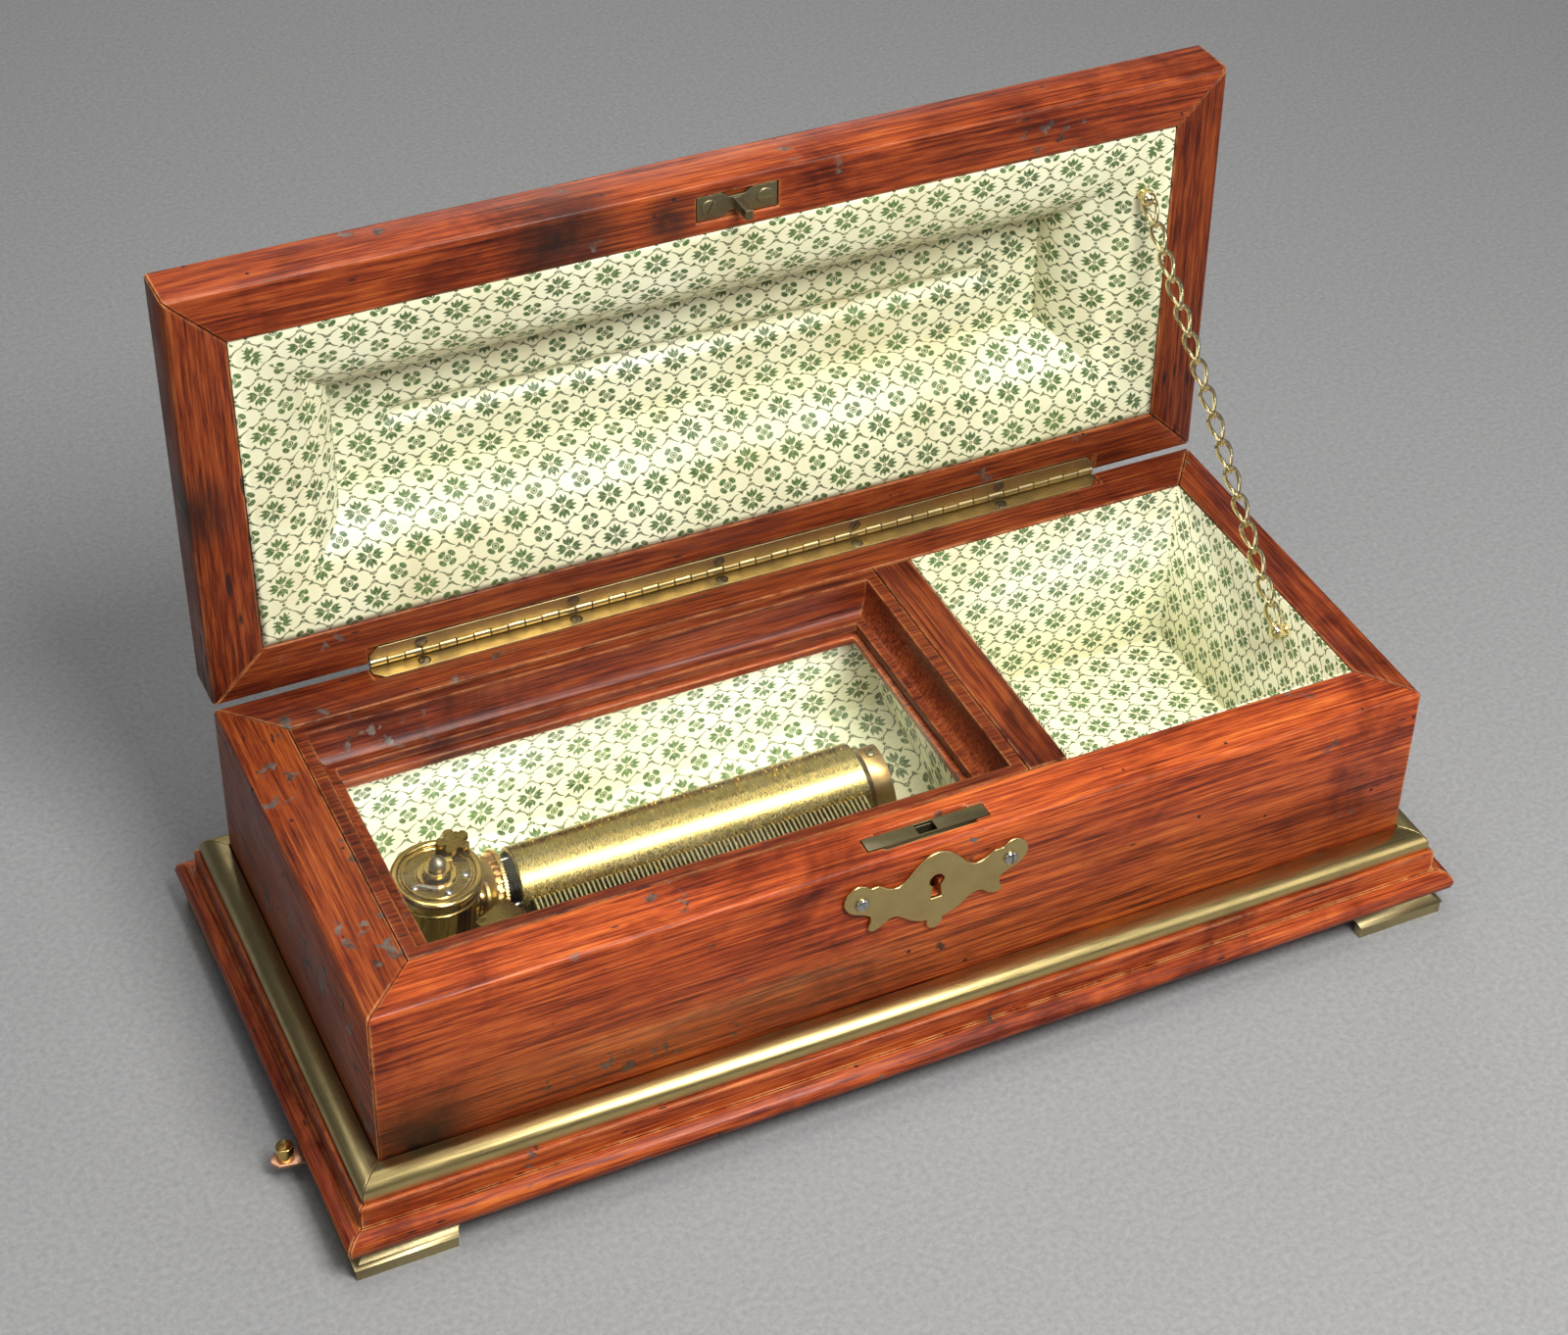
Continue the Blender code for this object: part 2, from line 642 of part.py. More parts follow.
def hinge(back_board, lid_back):
    case_top = RIM_Z - PIVOT_Z
    lid_low = LID_RIM_Z - PIVOT_Z
    hinge_leaf(
        "hinge_case_leaf", (case_top - LEAF_THICK, case_top), 250, 0, CASE, (0, PIVOT_Y, PIVOT_Z)
    )
    hinge_leaf("hinge_lid_leaf", (lid_low, lid_low + LEAF_THICK), 212, 1, LID, (0, 0, 0))
    ends = (HINGE_X[0] + 0.3 * MM, HINGE_X[1] - 0.3 * MM)
    turned(
        "hinge_pin", [(0, ends[0]), (HINGE_PIN_R, ends[0]), (HINGE_PIN_R, ends[1]), (0, ends[1])],
        10, "X", STEEL, CASE, (0, PIVOT_Y, PIVOT_Z),
    )
    margin = 0.4 * MM
    x = (HINGE_X[0] - margin, HINGE_X[1] + margin)
    front = LEAF_FRONT_Y - margin
    room = KNUCKLE_R + GAP
    cut(back_board, box(
        "cut_case_leaf_seat", x, (front, HALF_Y + 2 * MM),
        (RIM_Z - LEAF_THICK - GAP, RIM_Z + 1 * MM), WOOD, CASE,
    ))
    cut(lid_back, box(
        "cut_lid_leaf_seat", x, (front - PIVOT_Y, 2 * MM), (lid_low - 1 * MM, lid_low + LEAF_THICK + GAP),
        WOOD, LID,
    ))
    cut(lid_back, box(
        "cut_lid_knuckle_room", x, (-room, 2 * MM), (lid_low - 1 * MM, room), WOOD, LID
    ))


# ---------------------------------------------------------------- lid

def shut(y, z):
    """A place on the shut lid, seen from its pivot."""
    return y - PIVOT_Y, z - PIVOT_Z


def lid_frame():
    depth = HALF_Y * 2 + LID_FRONT_OVERHANG
    half = (HALF_X, depth / 2)
    middle_y, rim = shut(-LID_FRONT_OVERHANG / 2, LID_RIM_Z)
    rim_edge = 1.6 * MM
    roll = [
        (LID_FRAME + 33.0 * MM * sin(a), 26.6 * MM - 25.2 * MM * cos(a))
        for a in [radians(15 * i) for i in range(7)]
    ]
    cove = [
        (4 * MM + (LID_TOP_INSET - 4 * MM) * sin(a), LID_HEIGHT - 19 * MM * cos(a))
        for a in [radians(15 * i) for i in range(6, -1, -1)]
    ]
    section = [(0, rim_edge), (rim_edge * 0.3, rim_edge * 0.3), (rim_edge, 0), (LID_FRAME, 0)]
    section += roll
    section += [(LID_INNER, LID_HEIGHT)]
    section += cove
    section += [(1.2 * MM, 18.7 * MM), (0, FASCIA)]
    profile = [(inset, rim + height) for inset, height in section]
    rails = {}
    for side in ("front", "back", "left", "right"):
        rails[side] = mitred_rail(
            f"lid_{side}_rail", side, profile, WOOD, LID, half=half, shift=(0, middle_y), depth=1, ends=(1, 1)
        )
    inner = LID_INNER + GAP
    box(
        "lid_top_panel", (-half[0] + inner, half[0] - inner),
        (middle_y - half[1] + inner, middle_y + half[1] - inner),
        (rim + 29.5 * MM, rim + LID_HEIGHT - 0.4 * MM), WOOD, LID,
    )
    lid_lining(half, middle_y, rim)
    return rails


def lid_lining(half, middle_y, rim):
    """Papered card: a round roll down from the frame, a ledge, a soft step and the flat panel."""
    start = LID_FRAME + GAP
    turns = [radians(15 * i) for i in range(7)]
    front = [(start + 33.8 * MM * sin(a), LEDGE_DEPTH - 24.6 * MM * cos(a)) for a in turns]
    steps = 4
    for i in range(steps + 1):
        t = i / steps
        rise = (1 - cos(pi * t)) / 2
        front.append((LEDGE_IN + (PANEL_IN - LEDGE_IN) * t, LEDGE_DEPTH + (PANEL_DEPTH - LEDGE_DEPTH) * rise))
    back = [(start + 33.0 * MM * sin(a), 26.2 * MM - 25.1 * MM * cos(a)) for a in turns]
    back.append((back[-1][0], 29.2 * MM))
    bm = bmesh.new()
    rows = []
    for inset, height in list(reversed(front)) + back:
        rows.append([
            bm.verts.new((sx * (half[0] - inset), middle_y + sy * (half[1] - inset), rim + height))
            for sx, sy in ((-1, -1), (1, -1), (1, 1), (-1, 1))
        ])
    loft(bm, rows)
    finish("lid_lining", bm, PAPER, LID)


def strike_plate(front_rail):
    """A waisted plate let into the lid's front rail, with the staple that enters the lock."""
    y0, z0 = shut(LOCK_Y, LID_RIM_Z)
    half, wide, waist = 13.2 * MM, 4.1 * MM, 2.4 * MM
    corner = 2 * MM
    outline = [
        (-half, -wide), (-corner - 3 * MM, -wide), (-2.6 * MM, -waist), (2.6 * MM, -waist),
        (corner + 3 * MM, -wide), (half, -wide), (half, wide), (corner + 3 * MM, wide),
        (2.6 * MM, waist), (-2.6 * MM, waist), (-corner - 3 * MM, wide), (-half, wide),
    ]
    plate_z = (z0 + 0.6 * MM, z0 + 1.7 * MM)
    bm = bmesh.new()
    base = [bm.verts.new((LOCK_X + x, y0 + y, plate_z[0])) for x, y in outline]
    top = [bm.verts.new((LOCK_X + x, y0 + y, plate_z[1])) for x, y in outline]
    for i in range(len(outline)):
        j = (i + 1) % len(outline)
        bm.faces.new((base[i], base[j], top[j], top[i]))
    bm.faces.new(top)
    # the staple stands on a small square in the middle of the plate's underside
    side_x, side_y = 1.2 * MM, 1.6 * MM
    square = [(-side_x, -side_y), (side_x, -side_y), (side_x, side_y), (-side_x, side_y)]
    inner = [bm.verts.new((LOCK_X + x, y0 + y, plate_z[0])) for x, y in square]
    rings = [(base[2], base[3], inner[1], inner[0]), (base[8], base[9], inner[3], inner[2])]
    for ring in rings:
        bm.faces.new(ring)
    bm.faces.new((base[3], base[4], base[5], base[6], base[7], base[8], inner[2], inner[1]))
    bm.faces.new((base[9], base[10], base[11], base[0], base[1], base[2], inner[0], inner[3]))
    tip = [bm.verts.new((LOCK_X + x, y0 + y, plate_z[0] - 9.0 * MM)) for x, y in square]
    for i in range(4):
        j = (i + 1) % 4
        bm.faces.new((inner[i], inner[j], tip[j], tip[i]))
    bm.faces.new(tip)
    plate = finish("strike_plate", bm, BRASS, LID)
    eye_z = BOLT_Z - PIVOT_Z
    cut(plate, box(
        "cut_staple_eye", (LOCK_X - 3 * MM, LOCK_X + 3 * MM), (y0 - 1.1 * MM, y0 + 1.1 * MM),
        (eye_z - 0.4 * MM, eye_z + 2.8 * MM), BRASS, LID,
    ))
    seat = box(
        "cut_strike_seat", (LOCK_X - half - GAP, LOCK_X + half + GAP), (y0 - wide - GAP, y0 + wide + GAP),
        (z0 - 1 * MM, plate_z[1] + GAP), WOOD, LID,
    )
    cut(front_rail, seat)


# ---------------------------------------------------------------- chain

def ball_screw(name, length, material, parent, location, turn):
    """A ball-headed screw that a chain's end link hangs on; its shank points along +Z."""
    ball = arc((0, 0), (EYE_BALL_R, EYE_BALL_R), -90, 60, 6)
    profile = [(0, -EYE_BALL_R), *ball[1:], (EYE_SHANK_R, length - 0.9 * MM)]
    profile += [(2.1 * MM, length - 0.9 * MM), (2.1 * MM, length), (0, length)]
    obj = turned(name, profile, 14, "Z", material, parent)
    obj.location = location
    obj.rotation_euler = turn
    return obj


def open_place(point):
    """Where a point of the shut lid goes when the lid stands open, seen from the case's centre."""
    y, z = shut(point.y, point.z)
    turn = Matrix.Rotation(radians(-LID_OPEN), 3, "X")
    moved = turn @ Vector((point.x, y, z))
    return Vector((moved.x, moved.y + PIVOT_Y, moved.z + PIVOT_Z))


def chain():
    wall = HALF_X - WALL_RIGHT - GAP - LINING
    ball_screw(
        "chain_case_screw", wall - GAP - CASE_EYE.x, BRASS, CASE, CASE_EYE, (0, radians(90), 0)
    )
    y, z = shut(LID_EYE.y, LID_EYE.z)
    surface = LID_RIM_Z + 1.0 * MM
    ball_screw("chain_lid_screw", surface - LID_EYE.z, BRASS, LID, (LID_EYE.x, y, z), (0, 0, 0))
    low = CASE_EYE + Vector((2.6 * MM, 0, 0))
    high = open_place(LID_EYE)
    along = (high - low).normalized()
    start = low + along * (EYE_SHANK_R + CHAIN_R + 0.4 * MM)
    end = high - along * (EYE_BALL_R + 0.5 * MM)
    curve = bpy.data.curves.new("lid_chain", "CURVE")
    curve.dimensions = "3D"
    curve.bevel_depth = CHAIN_R
    curve.bevel_resolution = 2
    curve.use_fill_caps = True
    spline = curve.splines.new("POLY")
    count = 18
    spline.points.add(count - 1)
    for i in range(count):
        spline.points[i].co = (*start.lerp(end, i / (count - 1)), 1)
    curve.materials.append(BRASS)
    obj = bpy.data.objects.new("lid_chain", curve)
    obj.parent = CASE
    bpy.context.collection.objects.link(obj)


# ---------------------------------------------------------------- movement

def bedplate(base_board, left_lining):
    outline = [
        (BEDPLATE_X[0], BEDPLATE_Y[1]), (BEDPLATE_X[0], -30 * MM), (-128 * MM, BEDPLATE_Y[0] + 6 * MM),
        (-116 * MM, BEDPLATE_Y[0]), (BEDPLATE_X[1], BEDPLATE_Y[0]), (BEDPLATE_X[1], BEDPLATE_Y[1]),
    ]
    well = circle((BARREL_X, AXIS_Y), 3.6 * MM, 24)
    worm = governor_places()[2]
    pivot = circle((worm.x, worm.y), 0.95 * MM, 12)
    holed_prism("bedplate", outline, [well, pivot], BEDPLATE_Z, "XY", BRASS_DARK, CASE)
    for target, label in ((base_board, "base"), (left_lining, "lining")):
        cut(target, cylinder_cutter(
            f"cut_{label}_arbor_hole", (BARREL_X, AXIS_Y, 19 * MM), 4.5 * MM, 20 * MM, CASE
        ))
        cut(target, cylinder_cutter(
            f"cut_{label}_stud_hole", (*LEVER_PIVOT, 19 * MM), 2.4 * MM, 20 * MM, CASE, sides=16
        ))


def brackets():
    """The right bearing is a round-headed block; the left one reaches in from behind the barrel."""
    z0 = BEDPLATE_Z[1] + GAP
    head = arc((AXIS_Y, CYLINDER_Z), (8 * MM, 8 * MM), 0, 180, 10)
    outline = [(AXIS_Y - 9 * MM, z0), (AXIS_Y + 9 * MM, z0), *head]
    bore = circle((AXIS_Y, CYLINDER_Z), ARBOR_R + 0.05 * MM, 16)
    holed_prism("cylinder_bracket_right", outline, [bore], (12.4 * MM, 18.6 * MM), "YZ", BRASS, CASE)
    post = (18.5 * MM, 24.5 * MM)
    arm = [
        (post[0], z0), (post[1], z0), (post[1], CYLINDER_Z + 3.5 * MM), (AXIS_Y, CYLINDER_Z + 3.5 * MM),
    ]
    arm += arc((AXIS_Y, CYLINDER_Z), (3.5 * MM, 3.5 * MM), 112, 248, 6)
    arm += [(AXIS_Y, CYLINDER_Z - 3.5 * MM), (post[0], CYLINDER_Z - 3.5 * MM)]
    holed_prism("cylinder_bracket_left", arm, [bore], (-112.9 * MM, -110.9 * MM), "YZ", BRASS, CASE)


def comb():
    """A steel comb of 72 teeth; the bass teeth at the left are the longest."""
    tip_y = AXIS_Y - CYLINDER_R - PIN_HEIGHT
    width = 1.0 * MM
    outline = []
    for i in range(COMB_TEETH):
        x = COMB_START_X + i * TOOTH_PITCH
        length = (22 - 8 * i / (COMB_TEETH - 1)) * MM
        outline += [(x, tip_y - length), (x, tip_y), (x + width, tip_y), (x + width, tip_y - length)]
    end = outline[-1][0] + 2.2 * MM
    start = outline[0][0] - 2.2 * MM
    outline += [(end, outline[-1][1]), (end, COMB_BACK_Y), (start, COMB_BACK_Y), (start, outline[0][1])]
    top = CYLINDER_Z + 0.4 * MM
    prism("comb", outline, (top - COMB_THICK, top), "XY", STEEL, CASE)
    box(
        "comb_base", (start, end), (COMB_BACK_Y + 0.6 * MM, tip_y - 24.5 * MM),
        (BEDPLATE_Z[1] + GAP, top - COMB_THICK - GAP), BRASS_DARK, CASE,
    )


def cylinder_assembly():
    axis = add_empty("cylinder_axis", (0, AXIS_Y, CYLINDER_Z), CASE)
    x0, x1 = CYLINDER_X
    wall = 0.9 * MM
    inner = CYLINDER_R - wall
    plug = inner - 0.2 * MM
    bore = ARBOR_R + 0.1 * MM
    sleeve = [
        (CYLINDER_R, x0), (CYLINDER_R, x1), (inner, x1), (inner, x1 - 1.2 * MM), (bore, x1 - 1.2 * MM),
        (bore, x1 - 4 * MM), (inner, x1 - 4 * MM), (inner, x0),
    ]
    turned("pinned_cylinder", sleeve, 48, "X", BRASS, axis, closed=True)
    root = 9.3 * MM
    wheel_x = (-109.3 * MM, -107.7 * MM)
    wheel = [
        (root, wheel_x[0]), (root, wheel_x[1]), (plug, wheel_x[1]), (plug, x0 + 2.5 * MM),
        (bore, x0 + 2.5 * MM), (bore, wheel_x[0] - 1.2 * MM), (3.4 * MM, wheel_x[0] - 1.2 * MM),
        (3.4 * MM, wheel_x[0]),
    ]
    toothed(
        "cylinder_wheel", wheel, 0, "X", BRASS, axis, closed=True, teeth=CYLINDER_TEETH, share=0.40,
        band=0, lift=(1.2 * MM, 0), taper=0.7, phase=-pi / 2,
    )
    ends = (-113.3 * MM, 21.5 * MM)
    shaft = [(0, ends[0]), (1.2 * MM, ends[0]), (ARBOR_R, ends[0] + 0.4 * MM)]
    shaft += [(ARBOR_R, ends[1] - 0.6 * MM), (1.0 * MM, ends[1]), (0, ends[1])]
    turned("cylinder_arbor", shaft, 16, "X", STEEL, axis)


def barrel():
    axis = add_empty("barrel_axis", (BARREL_X, AXIS_Y, 0), CASE)
    bore = 3.3 * MM
    wall = 1.2 * MM
    top = CAP_Z[0] - GAP
    disc_z = FACE_TOOTH_Z - 1.1 * MM
    drum = [
        (bore, disc_z - 2.2 * MM), (GREAT_R, disc_z - 2.2 * MM), (GREAT_R, disc_z), (15.9 * MM, disc_z),
        (DRUM_R, disc_z), (DRUM_R, top), (DRUM_R - wall, top), (DRUM_R - wall, disc_z + 0.6 * MM),
        (bore, disc_z + 0.6 * MM),
    ]
    toothed(
        "spring_barrel", drum, 0, "Z", BRASS, axis, closed=True, teeth=GREAT_TEETH, share=0.34,
        band=2, lift=(0, 1.1 * MM), taper=0.85, phase=pi / GREAT_TEETH,
    )
    dish = 0.9 * MM
    cap = [
        (bore, CAP_Z[0]), (CAP_R - 1.4 * MM, CAP_Z[0]), (CAP_R, CAP_Z[0] + 1.2 * MM),
        (CAP_R, CAP_Z[1] - 1.0 * MM), (CAP_R - 1.0 * MM, CAP_Z[1]), (CAP_R - 2.2 * MM, CAP_Z[1]),
        (CAP_R - 3.0 * MM, CAP_Z[1] - dish), (bore, CAP_Z[1] - dish),
    ]
    turned("barrel_cap", cap, 48, "Z", BRASS, axis, closed=True)
    mainspring(axis, disc_z + 1.6 * MM, top - 1.2 * MM)
    star(axis)
    arbor_axis = add_empty("winding_arbor_axis", (BARREL_X, AXIS_Y, 0), CASE)
    radius = 3.0 * MM
    ball = arc((0, 66.2 * MM), (2.7 * MM, 2.7 * MM), -50, 90, 6)
    profile = [(0, 10.4 * MM), (2.1 * MM, 10.4 * MM), (2.1 * MM, 15.5 * MM), (radius, 16.2 * MM)]
    profile += [(radius, 63.2 * MM), (1.75 * MM, 63.9 * MM), *ball[:-1], (0, 68.9 * MM)]
    turned("winding_arbor", profile, 20, "Z", STEEL, arbor_axis)


def mainspring(axis, low, high):
    """A strip wound in a flat spiral, from the arbor's hook out to the drum's wall."""
    turns, steps, thick = 5, 70, 0.35 * MM
    inner, outer = [], []
    for i in range(steps + 1):
        t = i / steps
        angle = 2 * pi * turns * t
        radius = (4.2 + 6.3 * t) * MM
        inner.append((radius * cos(angle), radius * sin(angle)))
        outer.append(((radius + thick) * cos(angle), (radius + thick) * sin(angle)))
    prism("mainspring", inner + outer[::-1], (low, high), "XY", STEEL, axis)


def star(axis):
    """The stop-work's star: five blunt lobes with round hollows between them."""
    lobes = 5
    points = []
    for i in range(lobes):
        middle = 2 * pi * i / lobes + 0.4
        for turn, radius in ((-0.34, 4.8), (-0.12, 5.2), (0.12, 5.2), (0.34, 4.8), (pi / lobes, 2.7)):
            x = 8.1 + radius * cos(middle + turn)
            y = 8.2 + radius * sin(middle + turn)
            points.append((x * MM, y * MM))
    prism("stop_work_star", points, (CAP_Z[1] + GAP, CAP_Z[1] + 1.8 * MM), "XY", STEEL, axis)


def governor_places():
    """Where the radial arbor points, the way across it, and where the upright worm stands."""
    out = Vector((cos(GOVERNOR_ANGLE), sin(GOVERNOR_ANGLE), 0))
    side = Vector((-out.y, out.x, 0))
    worm = Vector((BARREL_X, AXIS_Y, 0)) + out * WORM_WHEEL_AT + side * WORM_SPACING
    return out, side, worm


def governor():
    """A worm wheel on a radial arbor turns an upright worm that carries the air brake."""
    out, side, worm_place = governor_places()
    pinion_r, leaf = 2.6 * MM, 1.0 * MM
    wheel_z = FACE_TOOTH_Z + pinion_r + leaf - 0.6 * MM
    wheel_axis = add_empty(
        "governor_wheel_axis", (BARREL_X, AXIS_Y, wheel_z), CASE, (0, 0, GOVERNOR_ANGLE)
    )
    start, end = 15.9 * MM, WORM_WHEEL_AT + 7.0 * MM
    rim = (WORM_WHEEL_AT - 0.7 * MM, WORM_WHEEL_AT + 0.7 * MM)
    arbor_r = 0.9 * MM
    wheel = [
        (0, start), (pinion_r, start), (pinion_r, start + 2.8 * MM), (arbor_r, start + 2.9 * MM),
        (arbor_r, rim[0]), (WORM_WHEEL_R, rim[0]), (WORM_WHEEL_R, rim[1]), (arbor_r, rim[1]),
        (arbor_r, end), (0, end),
    ]
    toothed(
        "governor_wheel", wheel, 0, "X", BRASS, wheel_axis, teeth=WORM_TEETH, share=0.5, band=5,
        lift=(0.8 * MM, 0), taper=0.7, phase=-pi / 2, leaves=(1, leaf),
    )
    fan_axis = add_empty("fan_axis", (worm_place.x, worm_place.y, 0), CASE)
    low, high = BEDPLATE_Z[0] + 1.2 * MM, 58.2 * MM
    shaft_r = 0.7 * MM
    profile = [(0, low), (shaft_r, low + 0.4 * MM), (shaft_r, 38.4 * MM)]
    for i in range(8):
        z = 38.6 * MM + i * 1.4 * MM
        profile += [
            (arbor_r, z), (WORM_R, z + 0.35 * MM), (WORM_R, z + 0.75 * MM), (arbor_r, z + 1.1 * MM)
        ]
    profile += [(shaft_r, 50.2 * MM), (shaft_r, high - 0.4 * MM), (0, high)]
    turned("governor_worm", profile, 12, "Z", STEEL, fan_axis)
    hub, thin = 1.2 * MM, 0.25 * MM
    blade = [
        (-FAN_R, -thin), (-hub, -thin), (-hub, -hub), (hub, -hub), (hub, -thin), (FAN_R, -thin),
        (FAN_R, thin), (hub, thin), (hub, hub), (-hub, hub), (-hub, thin), (-FAN_R, thin),
    ]
    bore = circle((0, 0), 0.75 * MM, 12)
    holed_prism("air_brake_fan", blade, [bore], (29 * MM, 35 * MM), "XY", BRASS, fan_axis)
    cage_turn = add_empty("cage_turn", worm_place, CASE, (0, 0, GOVERNOR_ANGLE))
    plate = (5.8 * MM, 7.4 * MM)
    foot_z = BEDPLATE_Z[1] + GAP
    top_z = 59.4 * MM
    shelf = 2.0 * MM
    section = [
        (plate[0], foot_z), (plate[1], foot_z), (plate[1], top_z), (-2.2 * MM, top_z),
        (-2.2 * MM, top_z - shelf), (plate[0], top_z - shelf),
    ]
    bm = bmesh.new()
    rows = [[bm.verts.new((a, b, z)) for a, z in section] for b in (-WORM_SPACING - 3 * MM, 2.6 * MM)]
    loft(bm, rows)
    cage = finish("governor_cage", bm, BRASS, cage_turn)
    cut(cage, cylinder_cutter(
        "cut_cage_bearing", (6.6 * MM, -WORM_SPACING, wheel_z), 1.1 * MM, 6 * MM, cage_turn, "X", 16
    ))
    place = (0, 0, top_z - shelf)
    cut(cage, cylinder_cutter("cut_cage_pivot", place, 0.95 * MM, 2 * MM, cage_turn, sides=12))


# ---------------------------------------------------------------- stop lever

def stop_lever(worm_place):
    """A flat lever under the base; its upright pin stands outside the plinth at the left end."""
    axis = add_empty("stop_lever_axis", (*LEVER_PIVOT, 0), CASE)
    pin = Vector((LEVER_PIN[0] - LEVER_PIVOT[0], LEVER_PIN[1] - LEVER_PIVOT[1], 0))
    angle = atan2(pin.y, pin.x)
    length = hypot(pin.x, pin.y)
    half = 3.2 * MM
    tip = length + (LEVER_PIN[0] - LEVER_TIP_X)
    chamfer = 2.2 * MM
    outline = [(-half, -half + chamfer), (-half + chamfer, -half), (tip - chamfer, -half),
               (tip, -half + chamfer), (tip, half - chamfer), (tip - chamfer, half),
               (-half + chamfer, half), (-half, half - chamfer)]
    plate = prism("stop_lever", outline, LEVER_Z, "XY", COPPER, axis)
    plate.rotation_euler = (0, 0, angle)
    low, high = LEVER_Z[1] + GAP, 12.6 * MM
    radius = 2.7 * MM
    profile = [(0, low), (radius, low), (radius, high - 0.3 * MM), (radius - 0.3 * MM, high), (0, high)]
    knob = turned("stop_lever_pin", profile, 20, "Z", BRASS, axis)
    knob.location = pin
    # the stud rises through the base and carries the detent arm, here just clear of the fan
    caught = worm_place - Vector((2.3 * MM, 2.3 * MM, 0)) - Vector((*LEVER_PIVOT, 0))
    arm_angle = atan2(caught.y, caught.x) + radians(LEVER_SWING)
    arm_length = hypot(caught.x, caught.y)
    arm_z = (31 * MM, 32.2 * MM)
    stud_r = 1.8 * MM
    bm = bmesh.new()
    sides = 12
    first = pi / sides
    ring_angles = [first + 2 * pi * i / sides for i in range(sides)]
    levels = (LEVER_Z[1] + GAP, arm_z[0], arm_z[1], arm_z[1] + 0.6 * MM)
    rows = [[bm.verts.new((stud_r * cos(a), stud_r * sin(a), z)) for a in ring_angles] for z in levels]
    loft(bm, rows)
    bm.faces.ensure_lookup_table()
    face = min(bm.faces, key=lambda f: (f.calc_center_median() - Vector((stud_r, 0, sum(arm_z) / 2))).length)
    grown = bmesh.ops.extrude_discrete_faces(bm, faces=[face])["faces"][0]
    bmesh.ops.translate(bm, verts=grown.verts, vec=(arm_length - stud_r, 0, 0))
    bmesh.ops.remove_doubles(bm, verts=bm.verts, dist=1e-6)
    detent = finish("stop_detent", bm, STEEL, axis)
    detent.rotation_euler = (0, 0, arm_angle)


# ---------------------------------------------------------------- build

clear_scene()
WOOD = make_material("mahogany", (0.27, 0.065, 0.028), 0.36)
PLAIN_WOOD = make_material("plain_wood", (0.36, 0.20, 0.10), 0.6)
BRASS = make_material("brass", (0.62, 0.45, 0.17), 0.3, 1.0)
BRASS_DARK = make_material("dull_brass", (0.40, 0.30, 0.13), 0.45, 1.0)
STEEL = make_material("steel", (0.42, 0.42, 0.42), 0.35, 1.0)
COPPER = make_material("copper", (0.72, 0.38, 0.24), 0.4, 1.0)
PAPER = make_material("lining_paper", (0.80, 0.77, 0.58), 0.8)
GLASS = make_material("glass", (0.95, 0.98, 0.97), 0.03, 0.0, 1.0)

LID_BACK_Y = open_place(Vector((0, -HALF_Y - LID_FRONT_OVERHANG + LID_TOP_INSET, LID_RIM_Z + LID_HEIGHT))).y
FOOTPRINT_X = (LEVER_TIP_X, HALF_X + NOSE_OUT)
FOOTPRINT_Y = (-HALF_Y - NOSE_OUT, LID_BACK_Y)
CASE = add_empty("case_centre", (-sum(FOOTPRINT_X) / 2, -sum(FOOTPRINT_Y) / 2, 0))
LID = add_empty("lid_pivot", (0, PIVOT_Y, PIVOT_Z), CASE, (radians(-LID_OPEN), 0, 0))

BOARDS = case_boards()
plinth()
feet()
LEFT_LINING = compartments()
lock(BOARDS["front"])
escutcheon()
RAILS = lid_frame()
strike_plate(RAILS["front"])
hinge(BOARDS["back"], RAILS["back"])
chain()
bedplate(BOARDS["base"], LEFT_LINING)
brackets()
comb()
cylinder_assembly()
barrel()
governor()
stop_lever(governor_places()[2])
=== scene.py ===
"""Looks of the cylinder music box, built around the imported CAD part.

Lengths are metres, in the CAD's own frame; MM turns millimetres into metres. Places come from the
CAD nodes' boxes. at() takes millimetres from the case's centre, and from_shut() takes a place on the
shut lid and gives where it stands when the lid is open.
"""
import random
from math import asin, atan2, cos, degrees, hypot, pi, radians, sin

import bmesh
import bpy
from mathutils import Matrix, Vector


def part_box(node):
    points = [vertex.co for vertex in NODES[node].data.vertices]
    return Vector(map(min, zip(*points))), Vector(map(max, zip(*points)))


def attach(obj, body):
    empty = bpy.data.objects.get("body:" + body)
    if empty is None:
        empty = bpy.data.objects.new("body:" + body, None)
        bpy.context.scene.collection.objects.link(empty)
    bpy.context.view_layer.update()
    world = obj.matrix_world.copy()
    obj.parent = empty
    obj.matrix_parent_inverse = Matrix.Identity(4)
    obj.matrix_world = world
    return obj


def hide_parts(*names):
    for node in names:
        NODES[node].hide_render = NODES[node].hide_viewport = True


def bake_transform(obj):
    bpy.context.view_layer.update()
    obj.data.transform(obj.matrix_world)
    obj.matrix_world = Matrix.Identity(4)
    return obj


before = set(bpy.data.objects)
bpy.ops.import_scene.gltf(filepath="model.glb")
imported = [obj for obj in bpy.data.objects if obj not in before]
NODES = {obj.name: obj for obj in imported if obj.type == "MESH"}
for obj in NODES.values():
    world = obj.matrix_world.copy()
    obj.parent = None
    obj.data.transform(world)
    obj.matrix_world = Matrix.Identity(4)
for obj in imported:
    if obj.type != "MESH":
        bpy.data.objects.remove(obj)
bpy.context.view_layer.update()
MM = 0.001


def span(node, axis):
    low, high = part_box(node)
    return low[axis], high[axis]


def middle(node, axis):
    low, high = span(node, axis)
    return (low + high) / 2


